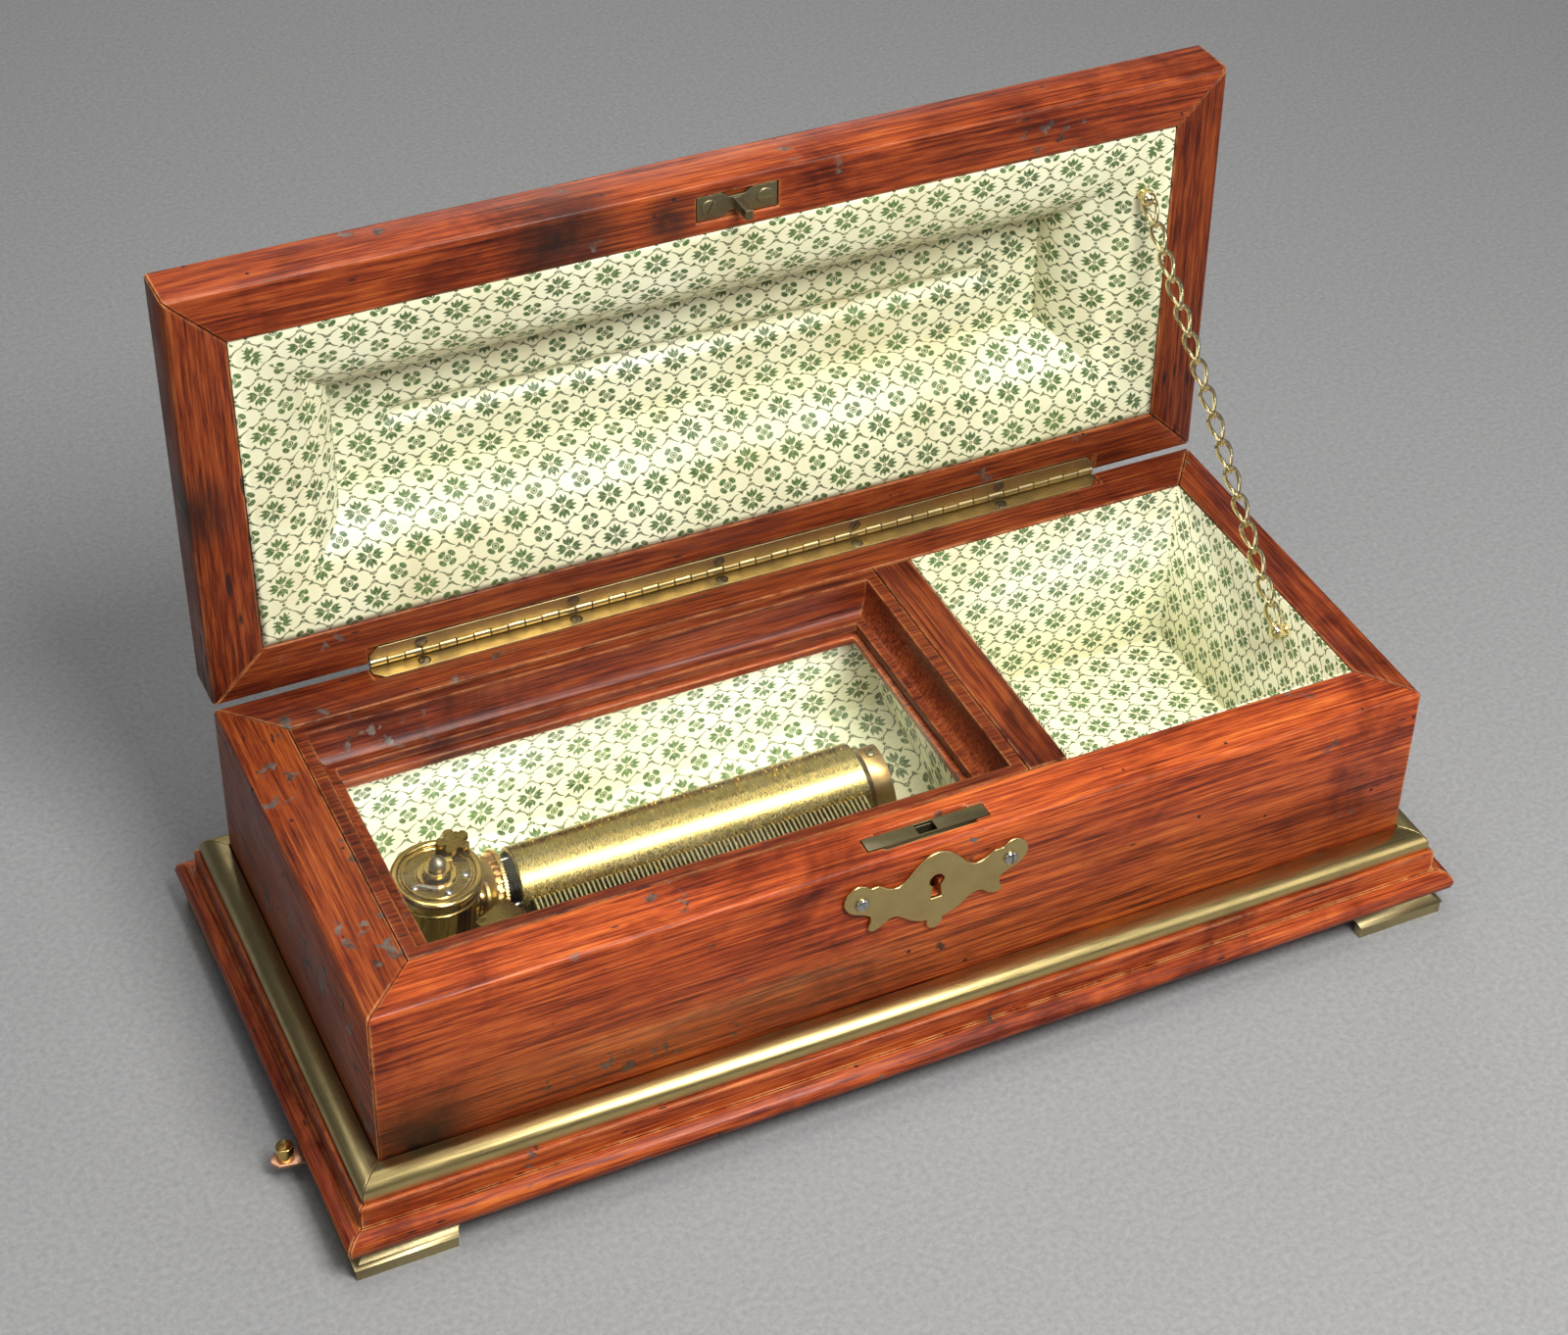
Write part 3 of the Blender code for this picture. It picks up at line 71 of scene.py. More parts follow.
CX, CY = middle("front_board", 0), middle("left_end_board", 1)
PIVOT = Vector((CX, CY + 71.4 * MM, 90.1 * MM))
LID_OPEN = radians(91.8)
HALF_X, HALF_Y = 173, 71.5  # the case's outer faces, mm
SHUT_RIM = 88.8  # underside of the shut lid, mm
AXIS_Y, AXIS_Z = 1.4, 51.1  # the cylinder's axis, mm
BARREL = (-126.4, 1.4)
LOCK_X, LOCK_Y = 2.6, -63.6


def at(x, y, z):
    """A point given from the case's centre in millimetres."""
    return Vector((CX + x * MM, CY + y * MM, z * MM))


def from_shut(x, y, z):
    """Where a point of the shut lid, given like at()'s, stands when the lid is open."""
    return Matrix.Rotation(-LID_OPEN, 3, "X") @ (at(x, y, z) - PIVOT) + PIVOT


# ---------------------------------------------------------------- shader helpers

class Value:
    """A number that a shader works out, with Python's arithmetic."""

    def __init__(self, shader, socket):
        self.shader = shader
        self.socket = socket

    def do(self, operation, *others, swap=False):
        values = [self, *others]
        if swap:
            values.reverse()
        made = self.shader.node("Math", operation=operation)
        for socket, value in zip(made.inputs, values):
            self.shader.feed(socket, value)
        return Value(self.shader, made.outputs[0])

    def __add__(self, other):
        return self.do("ADD", other)

    def __sub__(self, other):
        return self.do("SUBTRACT", other)

    def __mul__(self, other):
        return self.do("MULTIPLY", other)

    def __truediv__(self, other):
        return self.do("DIVIDE", other)

    def __rsub__(self, other):
        return self.do("SUBTRACT", other, swap=True)

    __radd__ = __add__
    __rmul__ = __mul__

    def abs(self):
        return self.do("ABSOLUTE")

    def sin(self):
        return self.do("SINE")

    def fraction(self):
        return self.do("FRACT")

    def low(self, other):
        return self.do("MINIMUM", other)

    def high(self, other):
        return self.do("MAXIMUM", other)

    def fit(self, low, high, to_low=0.0, to_high=1.0):
        """From low..high to to_low..to_high, held at the ends."""
        made = self.shader.node("MapRange", clamp=True)
        for socket, number in zip(made.inputs, (self, low, high, to_low, to_high)):
            self.shader.feed(socket, number)
        return Value(self.shader, made.outputs[0])

    def below(self, limit, soft=0.006):
        """1 where the value is under the limit."""
        return (self - limit).fit(-soft, soft, 1.0, 0.0)


class Shader:
    """A material with a Principled BSDF and short ways to add nodes to it."""

    def __init__(self, name, **values):
        self.material = bpy.data.materials.new(name)
        self.material.use_nodes = True
        self.tree = self.material.node_tree
        self.bsdf = self.tree.nodes["Principled BSDF"]
        for key, value in values.items():
            self.set(key.replace("_", " "), value)

    def set(self, name, value):
        self.feed(self.bsdf.inputs[name], value)

    def feed(self, socket, value):
        if isinstance(value, Value):
            value = value.socket
        if isinstance(value, bpy.types.NodeSocket):
            self.tree.links.new(value, socket)
        elif socket.type == "RGBA" and len(value) == 3:
            socket.default_value = (*value, 1)
        else:
            socket.default_value = value

    def node(self, kind, **settings):
        made = self.tree.nodes.new("ShaderNode" + kind)
        for key, value in settings.items():
            setattr(made, key, value)
        return made

    def place(self, scale=(1, 1, 1), shift=(0, 0, 0)):
        """Object coordinates, moved and stretched."""
        mapping = self.node("Mapping")
        self.feed(mapping.inputs["Vector"], self.node("TexCoord").outputs["Object"])
        mapping.inputs["Location"].default_value = shift
        mapping.inputs["Scale"].default_value = scale
        return mapping.outputs["Vector"]

    def noise(self, vector, scale, detail=4.0, rough=0.5, distortion=0.0):
        made = self.node("TexNoise")
        self.feed(made.inputs["Vector"], vector)
        made.inputs["Scale"].default_value = scale
        made.inputs["Detail"].default_value = detail
        made.inputs["Roughness"].default_value = rough
        made.inputs["Distortion"].default_value = distortion
        return Value(self, made.outputs["Fac"])

    def voronoi(self, vector, scale):
        made = self.node("TexVoronoi")
        self.feed(made.inputs["Vector"], vector)
        made.inputs["Scale"].default_value = scale
        return Value(self, made.outputs["Distance"])

    def near(self, point, reach):
        """1 at a point of the object, fading to 0 at its reach."""
        made = self.node("VectorMath", operation="DISTANCE")
        self.feed(made.inputs[0], self.node("TexCoord").outputs["Object"])
        made.inputs[1].default_value = point
        return Value(self, made.outputs["Value"]).fit(0.2 * reach, reach, 1.0, 0.0)

    def ramp(self, value, *stops):
        made = self.node("ValToRGB")
        self.feed(made.inputs[0], value)
        elements = made.color_ramp.elements
        while len(elements) < len(stops):
            elements.new(0.5)
        for element, (place, colour) in zip(elements, stops):
            element.position = place
            element.color = (*colour, 1)
        return made.outputs[0]

    def mix(self, factor, a, b, blend="MIX"):
        made = self.node("Mix", data_type="RGBA", blend_type=blend)
        self.feed(made.inputs["Factor"], factor)
        self.feed(made.inputs[6], a)
        self.feed(made.inputs[7], b)
        return made.outputs[2]

    def edges(self, radius):
        """1 near sharp edges, 0 on flat stretches, from how far a rounded normal leans."""
        bevel = self.node("Bevel", samples=4)
        bevel.inputs["Radius"].default_value = radius
        dot = self.node("VectorMath", operation="DOT_PRODUCT")
        self.feed(dot.inputs[0], bevel.outputs[0])
        self.feed(dot.inputs[1], self.node("NewGeometry").outputs["Normal"])
        return Value(self, dot.outputs["Value"]).fit(0.995, 0.86)

    def bump(self, height, distance, strength=1.0):
        made = self.node("Bump")
        made.inputs["Distance"].default_value = distance
        made.inputs["Strength"].default_value = strength
        self.feed(made.inputs["Height"], height)
        self.set("Normal", made.outputs[0])


# ---------------------------------------------------------------- materials

# how object coordinates are stretched so that a noise runs along one axis
ALONG = {"x": (0.035, 1, 1), "y": (1, 0.035, 1), "z": (1, 1, 0.035)}


def mahogany(name, along, tone=1.0, pits=0.0, wear=1.0, seed=0.0, stains=(), slots=False):
    """Stained wood with straight streaks along one axis and an uneven stain.

    Its edges are rubbed and it has dark pores. pits sets how much grey filler shows, slots adds long
    cracks, and stains lists scorched places as (point, reach).
    """
    s = Shader(name)
    stretch = ALONG[along]
    shift = (seed * 0.37, seed * 0.73, seed * 0.19)
    here = s.place((1, 1, 1), shift)
    fine = s.noise(s.place(stretch, shift), 1500, 3, 0.65)
    streak = s.noise(s.place(stretch, shift), 720, 3, 0.6, 0.3)
    band = s.noise(s.place([c ** 0.6 for c in stretch], shift), 60, 4, 0.6, 0.8)
    grain = fine * 0.46 + streak * 0.36 + band * 0.18
    colour = s.ramp(
        grain,
        (0.38, [c * tone for c in (0.075, 0.009, 0.004)]),
        (0.465, [c * tone for c in (0.240, 0.034, 0.009)]),
        (0.53, [c * tone for c in (0.420, 0.070, 0.015)]),
        (0.64, [c * tone for c in (0.600, 0.145, 0.029)]),
    )
    cloud = s.noise(here, 13, 5, 0.68, 0.6)
    shade = s.ramp(
        cloud, (0.34, (0.34, 0.22, 0.20)), (0.49, (1.0, 1.0, 1.0)), (0.66, (1.22, 1.40, 1.30))
    )
    colour = s.mix(1.0, colour, shade, "MULTIPLY")
    patchy = s.noise(here, 130, 4, 0.65)
    rubbed = s.edges(1.2 * MM) * patchy.fit(0.38, 0.58) * (0.85 * wear)
    colour = s.mix(rubbed, colour, (0.78, 0.33, 0.11))
    pore_place = s.place([min(1, c * 7) for c in stretch], shift)
    pores = s.voronoi(pore_place, 330).fit(0.10, 0.16, 1.0, 0.0)
    pores = pores * s.noise(here, 42, 2).fit(0.60, 0.64)
    specks = s.voronoi(here, 70).fit(0.040, 0.060, 1.0, 0.0) * s.noise(here, 9, 1).fit(0.46, 0.50)
    pores = pores.high(specks)
    filler = s.noise(here, 190, 3, 0.55).fit(0.56, 0.60)
    filler = filler * s.noise(here, 38, 2).fit(0.66 - 0.11 * pits, 0.69 - 0.11 * pits)
    if slots:
        crack_place = s.place([min(1, c * 5) for c in stretch], shift)
        cracks = s.voronoi(crack_place, 240).fit(0.16, 0.24, 1.0, 0.0)
        pores = pores.high(cracks * s.noise(here, 30, 2).fit(0.50, 0.53))
    for point, reach in stains:
        stain = s.near(point, reach) * patchy.fit(0.25, 0.6, 0.65, 1.0)
        colour = s.mix(stain, colour, (0.022, 0.010, 0.007))
    putty = s.ramp(patchy, (0.4, (0.030, 0.020, 0.017)), (0.6, (0.150, 0.118, 0.095)))
    colour = s.mix(filler * 0.9, colour, putty)
    colour = s.mix(pores * 0.92, colour, (0.018, 0.010, 0.009))
    s.set("Base Color", colour)
    s.set("Roughness", s.noise(here, 60, 4, 0.6).fit(0.3, 0.7, 0.38, 0.54) + rubbed * 0.12 + pores * 0.2)
    s.bump(grain * 0.6 - pores - filler * 0.6, 0.22 * MM, 0.6)
    s.bsdf.inputs["Specular IOR Level"].default_value = 0.22
    s.bsdf.inputs["Coat Weight"].default_value = 0.05
    s.bsdf.inputs["Coat Roughness"].default_value = 0.16
    return s.material


def metal(name, colour, dark, rough=0.25, patina=0.35, scratch="x", edge=0.5 * MM, tooth=0.25, detail=1.0):
    """Handled metal: cloudy tarnish, hairline scratches and brighter edges."""
    s = Shader(name, Metallic=1.0)
    cloud = s.noise(s.place(), 70 * detail, 5, 0.62)
    speck = s.noise(s.place(), 900, 3, 0.6)
    tarnish = (cloud.fit(0.42, 0.68) * patina + speck.fit(0.56, 0.72) * (patina * 0.5)).low(1.0)
    hair = s.noise(s.place(ALONG[scratch]), 2200, 2, 0.5)
    rubbed = s.edges(edge)
    base = s.mix(tarnish, colour, dark)
    base = s.mix(rubbed * 0.6, base, [min(1, c * 1.3) for c in colour])
    s.set("Base Color", base)
    s.set("Roughness", tarnish * 0.22 + hair.fit(0.35, 0.65, -0.03, 0.06) + rough)
    s.bump(hair + speck * 0.5, 0.03 * MM, tooth)
    return s.material


CELL = (15.8 * MM, 13.8 * MM)  # the paper's printed figure repeats at these steps


def wallpaper():
    """Cream paper printed in green with a small diaper of sprigs, flowers and scrolls."""
    s = Shader("lining_paper")
    wobble = s.noise(s.place(), 220, 2)
    parts = s.node("SeparateXYZ")
    s.feed(parts.inputs[0], s.node("UVMap", uv_map="paper").outputs[0])
    shift = (wobble - 0.5) * 0.03
    u = ((Value(s, parts.outputs[0]) / CELL[0] + 100.5 + shift).fraction() - 0.5).abs()
    v = ((Value(s, parts.outputs[1]) / CELL[1] + 100.5 - shift).fraction() - 0.5).abs()
    green, olive = diaper(u, v)
    here = s.place()
    patchy = s.noise(here, 1500, 2).fit(0.28, 0.60, 0.75, 1.0)
    age = s.noise(here, 18, 4, 0.6)
    paper = s.ramp(
        age, (0.30, (0.66, 0.60, 0.36)), (0.50, (0.76, 0.74, 0.49)), (0.75, (0.82, 0.81, 0.60))
    )
    fade = s.noise(here, 30, 2)
    leaf = s.ramp(fade, (0.35, (0.030, 0.080, 0.012)), (0.65, (0.062, 0.138, 0.020)))
    stroke = s.ramp(fade, (0.35, (0.045, 0.068, 0.014)), (0.65, (0.085, 0.112, 0.024)))
    colour = s.mix(olive * patchy, paper, stroke)
    colour = s.mix(green * patchy, colour, leaf)
    s.set("Base Color", colour)
    s.set("Roughness", s.noise(here, 300, 3).fit(0.3, 0.7, 0.42, 0.62))
    s.bump(s.noise(here, 1200, 4, 0.6), 0.05 * MM, 0.35)
    return s.material


def diaper(u, v):
    """The printed figure from a point's distances to its cell's middle lines, in cells.

    A flower of four petals sits in the middle and a sprig of four leaves on the corners; dots lie half
    way along the sides, and scrolls run from dot to dot. The first result is the deep green ink, the
    second the olive.
    """

    def length(a, b):
        return (a * a + b * b).do("SQRT")

    # flower
    radius = length(u, v)
    along = (u + v) * 0.7071
    aside = (u - v) * 0.7071
    petal = length((along - 0.145) / 0.060, aside / 0.090).below(1.0, 0.12)
    petal = petal * (1.0 - radius.below(0.094))
    green = petal.high(radius.below(0.078) * (1.0 - (radius - 0.044).abs().below(0.006)))
    # sprig: x runs out along a leaf, y across it
    p, q = 0.5 - u, 0.5 - v
    x, y = p.high(q), p.low(q)
    ring = length(p, q)
    body = y.below(((x - 0.048) * 1.4).low(0.102)) * x.below(0.195) * (1.0 - x.below(0.054))
    spike = y.below((0.300 - x) * 0.44) * (1.0 - x.below(0.14))
    side = (y - 0.36 * x - 0.012).abs().below((0.262 - x) * 0.48) * (1.0 - x.below(0.15))
    leaf = body.high(spike).high(side)
    vein = y.below(0.003, 0.002) * (1.0 - x.below(0.07)) * x.below(0.13)
    green = green.high(leaf * (1.0 - vein))
    # dots half way along the sides, and a ring in the sprig
    dot = length(p, v).low(length(u, q))
    olive = dot.below(0.036).high((ring - 0.028).abs().below(0.012))
    # scrolls along the diamond between the dots, each ending in a small trumpet
    s = v - u + 0.5
    t = (u + v - 0.5) * 0.7071
    centre = (s * (2 * pi)).sin() * 0.052
    bell = (s - 0.41).fit(0.0, 0.10)
    width = bell * 0.058 + s * 0.014 + 0.009
    first = (t - centre).abs().below(width) * s.below(0.515) * (1.0 - s.below(0.10))
    rest = (t - centre).abs().below((s - 0.56) * 0.045 + 0.009) * (1.0 - s.below(0.56)) * s.below(0.90)
    olive = olive.high(first).high(rest)
    for start, lift in ((0.13, 0.045), (0.87, -0.045)):
        across = (s - start) * 0.7071
        rise = t - lift
        hook = (length(across, rise) - 0.031).abs().below(0.0120)
        open_side = (rise * (1 if lift > 0 else -1)).below(-0.014)
        curl = length(across * (1 if lift > 0 else -1) - 0.024, rise + 0.008).below(0.020)
        olive = olive.high(hook * (1.0 - open_side)).high(curl)
    return green, olive


def pane():
    """Clear glass that lets light straight through to what lies under it."""
    s = Shader("window_glass", IOR=1.45)
    s.set("Transmission Weight", 1.0)
    s.set("Base Color", (0.97, 0.99, 0.98))
    s.set("Roughness", s.noise(s.place(), 40, 3).fit(0.45, 0.75, 0.0, 0.05))
    light = Value(s, s.node("LightPath").outputs["Is Shadow Ray"])
    s.set("Alpha", 1.0 - light * 0.93)
    return s.material


# ---------------------------------------------------------------- camera, light and floor

def camera():
    data = bpy.data.cameras.new("camera")
    data.sensor_width = 36
    data.lens = 71.45
    data.shift_x = -0.0240
    data.shift_y = -0.0502
    obj = bpy.data.objects.new("camera", data)
    obj.location = at(-331.3, -652.4, 713.6)
    obj.rotation_euler = (radians(51.532), radians(-1.584), radians(-25.499))
    bpy.context.collection.objects.link(obj)
    bpy.context.scene.camera = obj


def area_light(name, place, aim, size, power):
    data = bpy.data.lights.new(name, "AREA")
    data.size = size
    data.energy = power
    obj = bpy.data.objects.new(name, data)
    obj.location = place
    obj.rotation_euler = (Vector(aim) - Vector(place)).to_track_quat("-Z", "Y").to_euler()
    bpy.context.collection.objects.link(obj)


def studio():
    mesh = bpy.data.meshes.new("floor")
    size = 6.0
    corners = [(-size, -size, 0), (size, -size, 0), (size, size, 0), (-size, size, 0)]
    mesh.from_pydata(corners, [], [(0, 1, 2, 3)])
    floor = bpy.data.objects.new("floor", mesh)
    bpy.context.collection.objects.link(floor)
    s = Shader("floor_paper")
    tooth = s.noise(s.place(), 500, 5, 0.7)
    s.set("Base Color", s.ramp(tooth, (0.35, (0.222, 0.221, 0.219)), (0.65, (0.290, 0.288, 0.284))))
    s.set("Roughness", 0.85)
    s.bump(tooth, 0.2 * MM, 0.3)
    mesh.materials.append(s.material)
    world = bpy.data.worlds.new("world")
    world.use_nodes = True
    background = world.node_tree.nodes["Background"]
    background.inputs[0].default_value = (0.80, 0.82, 0.86, 1)
    background.inputs[1].default_value = 0.13
    bpy.context.scene.world = world
    bpy.context.scene.view_settings.view_transform = "Standard"
    area_light("key", (0.10, -0.62, 0.98), (0.0, -0.02, 0.08), 0.42, 15.5)
    area_light("top", (-0.1, 0.02, 1.05), (0, -0.02, 0.05), 0.5, 4)
    area_light("fill", (1.3, -0.8, 0.7), (0, 0, 0.08), 0.9, 4)
    area_light("back", (0.3, 1.2, 0.9), (0, 0, 0.08), 0.6, 4)
    area_light("left", (-1.0, -0.5, 0.6), (0, 0, 0.08), 0.6, 1.4)


# ---------------------------------------------------------------- mesh helpers

class Build:
    """Collects sheets of points into one mesh."""

    def __init__(self):
        self.points = []
        self.faces = []
        self.uvs = []

    def grid(self, rows, around=False, uvs=None):
        """Joins rows of points into a sheet; around closes each row on itself."""
        start = len(self.points)
        width = len(rows[0])
        flat = [uv for row in uvs for uv in row] if uvs else None
        for row in rows:
            self.points.extend(row)
        for r in range(len(rows) - 1):
            for c in range(width if around else width - 1):
                corners = (r * width + c, r * width + (c + 1) % width)
                corners += (corners[1] + width, corners[0] + width)
                self.faces.append([start + i for i in corners])
                self.uvs.extend(flat[i] if flat else (0, 0) for i in corners)

    def cap(self, row):
        start = len(self.points)
        self.points.extend(row)
        self.faces.append(list(range(start, start + len(row))))
        self.uvs.extend([(0, 0)] * len(row))

    def spin(self, profile, origin, axis=(0, 0, 1), sides=48):
        """Turns a profile of (radius, height) in mm about an axis through origin."""
        turn = Vector(axis).to_track_quat("Z", "X").to_matrix()
        angles = [2 * pi * i / sides for i in range(sides)]
        rows = [
            [origin + turn @ (Vector((radius * cos(a), radius * sin(a), height)) * MM) for a in angles]
            for radius, height in profile
        ]
        self.grid(rows, around=True)

    def tube(self, path, radius, sides=10, closed=False):
        """A round wire along points given in metres."""
        count = len(path)
        rows = []
        side = None
        for i, point in enumerate(path):
            before = path[i - 1] if closed or i else point
            after = path[(i + 1) % count] if closed or i < count - 1 else point
            run = (after - before).normalized()
            if side is None:
                side = run.orthogonal().normalized()
            side = (side - run * side.dot(run)).normalized()
            up = run.cross(side)
            angles = [2 * pi * k / sides for k in range(sides)]
            rows.append([point + (side * cos(a) + up * sin(a)) * radius for a in angles])
        if closed:
            # the frame turns a little on its way round, so the last row is matched to the first
            last, first = rows[-1], rows[0]
            shift = min(range(sides), key=lambda k: (last[k] - first[0]).length)
            self.grid(rows, around=True)
            self.grid([last[shift:] + last[:shift], first], around=True)
        else:
            self.grid(rows, around=True)
            self.cap(rows[0])
            self.cap(rows[-1])

    def prism(self, outline, low, high, place):
        """An outline of (x, y) in mm between two heights; place turns (x, y, z) into a point."""
        rows = [[place(x, y, z) for x, y in outline] for z in (low, high)]
        self.grid(rows, around=True)
        self.cap(rows[0])
        self.cap(rows[1])

    def mesh(self, name):
        """The points and faces as a mesh, joined where they meet and facing outwards."""
        mesh = bpy.data.meshes.new(name)
        mesh.from_pydata([tuple(p) for p in self.points], [], self.faces)
        layer = mesh.uv_layers.new(name="paper")
        layer.data.foreach_set("uv", [c for uv in self.uvs for c in uv])
        bm = bmesh.new()
        bm.from_mesh(mesh)
        bmesh.ops.remove_doubles(bm, verts=bm.verts, dist=2e-6)
        bmesh.ops.dissolve_degenerate(bm, edges=bm.edges, dist=1e-6)
        bmesh.ops.recalc_face_normals(bm, faces=bm.faces)
        bm.to_mesh(mesh)
        bm.free()
        return mesh

    def finish(self, name, material, body, slot, nodes=(), angle=35):
        """The mesh as a visible piece on its body, hiding the CAD nodes it stands for; slot is not used."""
        mesh = self.mesh(name)
        mesh.shade_smooth()
        mesh.set_sharp_from_angle(angle=radians(angle))
        mesh.materials.append(material)
        obj = bpy.data.objects.new(name, mesh)
        bpy.context.collection.objects.link(obj)
        if body:
            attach(obj, body)
        if nodes:
            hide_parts(*nodes)
        return obj


def rounding(obj, width, segments=2):
    """Rounds an object's edges by a real bevel."""
    bevel = obj.modifiers.new("rounding", "BEVEL")
    bevel.width = width * MM
    bevel.segments = segments
    bevel.limit_method = "ANGLE"
    bevel.angle_limit = radians(33)
    bevel.harden_normals = True
    return bevel


def soften(node, width, segments=2):
    """Rounds a CAD node's edges by modifiers and shades its curves smooth."""
    obj = NODES[node]
    for polygon in obj.data.polygons:
        polygon.use_smooth = True
    weld = obj.modifiers.new("weld", "WELD")
    weld.merge_threshold = 5e-6
    if not width:
        split = obj.modifiers.new("split", "EDGE_SPLIT")
        split.split_angle = radians(33)
        return
    flat = obj.modifiers.new("flat", "DECIMATE")
    flat.decimate_type = "DISSOLVE"
    flat.angle_limit = radians(1)
    rounding(obj, width, segments)


def dress(node, material, width=0.0, segments=2):
    NODES[node].data.materials.clear()
    NODES[node].data.materials.append(material)
    soften(node, width, segments)


# ---------------------------------------------------------------- papered linings

def thicken(sheet):
    """Gives a paper sheet its thickness."""
    card = sheet.modifiers.new("card", "SOLIDIFY")
    card.thickness = 0.6 * MM
    card.offset = 0


def tray(node, material):
    """An open paper tray inside its CAD box, each wall with its own run of the print."""
    low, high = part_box(node)
    inset = 0.4 * MM
    x0, x1 = low.x + inset, high.x - inset
    y0, y1 = low.y + inset, high.y - inset
    z0, z1 = low.z + inset, high.z
    build = Build()

    def sheet(corners, uvs):
        build.grid([corners[:2], corners[2:]], uvs=[uvs[:2], uvs[2:]])

    sheet(
        [Vector((x0, y0, z0)), Vector((x1, y0, z0)), Vector((x0, y1, z0)), Vector((x1, y1, z0))],
        [(x0, y0), (x1, y0), (x0, y1), (x1, y1)],
    )
    for y in (y0, y1):
        sheet(
            [Vector((x0, y, z0)), Vector((x1, y, z0)), Vector((x0, y, z1)), Vector((x1, y, z1))],
            [(x0, y1), (x1, y1), (x0, y1 + z1 - z0), (x1, y1 + z1 - z0)],
        )
    for x in (x0, x1):
        sheet(
            [Vector((x, y0, z0)), Vector((x, y1, z0)), Vector((x, y0, z1)), Vector((x, y1, z1))],
            [(x, y0), (x, y1), (x + z1 - z0, y0), (x + z1 - z0, y1)],
        )
    thicken(build.finish(node + "_paper", material, "case", "lining_paper", (node,)))


def lid_paper(material):
    """The lid's papered inside: a round cove down from the frame, a ledge, a soft step and a panel."""
    start, ledge, panel = 17.5, 66.0, 72.0  # in from the lid's outer faces, mm
    cove, fall = 33.8, 24.6  # the cove's width and depth, mm
    floor, step = 25, 3.2  # up from the lid's rim, mm
    section = []
    for i in range(25):
        a = radians(90 * i / 24)
        section.append((start + cove * sin(a), floor - fall * cos(a)))
    for i in range(11):
        t = i / 10
        section.append((ledge + (panel - ledge) * t, floor + step * (1 - cos(pi * t)) / 2))
    runs = [0.0]
    for a, b in zip(section, section[1:]):
        runs.append(runs[-1] + hypot(b[0] - a[0], b[1] - a[1]))
    half = (HALF_X, HALF_Y + 0.5)
    mid = -0.5  # the lid's middle, from the case's
    lift = 0.35  # keeps the sheet clear of the CAD's lining
    build = Build()
    for side in range(4):
        long = side % 2 == 0
        sign = 1 if side < 2 else -1
        rows, uvs = [], []
        for (inset, deep), run in zip(section, runs):
            row, marks = [], []
            for end in (-1, 1):
                if long:
                    x, y = end * (half[0] - inset), sign * (half[1] - inset)
                else:
                    x, y = sign * (half[0] - inset), end * (half[1] - inset)
                row.append(from_shut(x, mid + y, SHUT_RIM + deep + lift))
                mark = (x, sign * run) if long else (sign * run, y)
                marks.append((mark[0] * MM, mark[1] * MM))
            rows.append(row)
            uvs.append(marks)
        build.grid(rows, uvs=uvs)
    inset, deep = section[-1]
    rows, uvs = [], []
    for sy in (-1, 1):
        corners = [(sx * (half[0] - inset), sy * (half[1] - inset)) for sx in (-1, 1)]
        rows.append([from_shut(x, mid + y, SHUT_RIM + deep + lift) for x, y in corners])
        uvs.append([(x * MM, y * MM) for x, y in corners])
    build.grid(rows, uvs=uvs)
    thicken(build.finish("lid_lining_paper", material, "lid", "lining_paper", ("lid_lining",), angle=40))


# ---------------------------------------------------------------- stay chain

LINKS = 16
LINK_LENGTH = 10.4  # between the centres of the wire's ends, mm
LINK_HALF = 2.7  # half the loop's width, mm
WIRE = 0.72  # the wire's radius, mm


def link_points(base, run, face, side):
    """A pear-shaped loop, narrow at its lower end, that turns a quarter on the way up."""
    count = 40
    points = []
    for i in range(count):
        turn = 2 * pi * i / count
        share = (1 - cos(turn)) / 2
        width = LINK_HALF * sin(turn) * (0.66 + 0.34 * share)
        quarter = pi / 2 * share
        across = face * cos(quarter) + side * sin(quarter)
        points.append(base + run * (share * LINK_LENGTH * MM) + across * (width * MM))
    return points


def chain(material):
    lower = at(154.5, -18.6, 79.8)
    upper = from_shut(145.5, -33.0, 86.9)
    run = (upper - lower).normalized()
    facing = Vector((-0.33, -0.62, 0.71))
    side = run.cross(facing).normalized()
    face = side.cross(run).normalized()
    pitch = (upper - lower).length / LINKS
    for i in range(LINKS):
        base = lower + run * (pitch * i - (LINK_LENGTH * MM - pitch) / 2)
        build = Build()
        build.tube(link_points(base, run, face, side), WIRE * MM, 10, closed=True)
        nodes = ("lid_chain",) if i == 0 else ()
        obj = build.finish(f"chain_link_{i + 1:02d}", material, None, "brass", nodes)
        centre = base + run * (LINK_LENGTH * MM / 2)
        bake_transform(obj)


# ---------------------------------------------------------------- movement

SLEEVE_LEFT, SLEEVE_RADIUS = -102.6, 10.7  # mm
FIRST_TOOTH, TOOTH_PITCH, COMB_TEETH = -99.9, 1.5, 72
WHEEL_TEETH, RIM_TEETH = 30, 84
ARBOR_CLEAR = 1.65  # bore of what sits on the cylinder's arbor, mm


def gear(teeth, root, tip, share=0.5, taper=0.6, phase=0.0):
    """The outline of a toothed disc in mm."""
    outline = []
    half = pi * share / teeth
    for i in range(teeth):
        turn = 2 * pi * i / teeth + phase
        for offset, radius in ((-half, root), (-half * taper, tip), (half * taper, tip), (half, root)):
            outline.append((radius * cos(turn + offset), radius * sin(turn + offset)))
    return outline


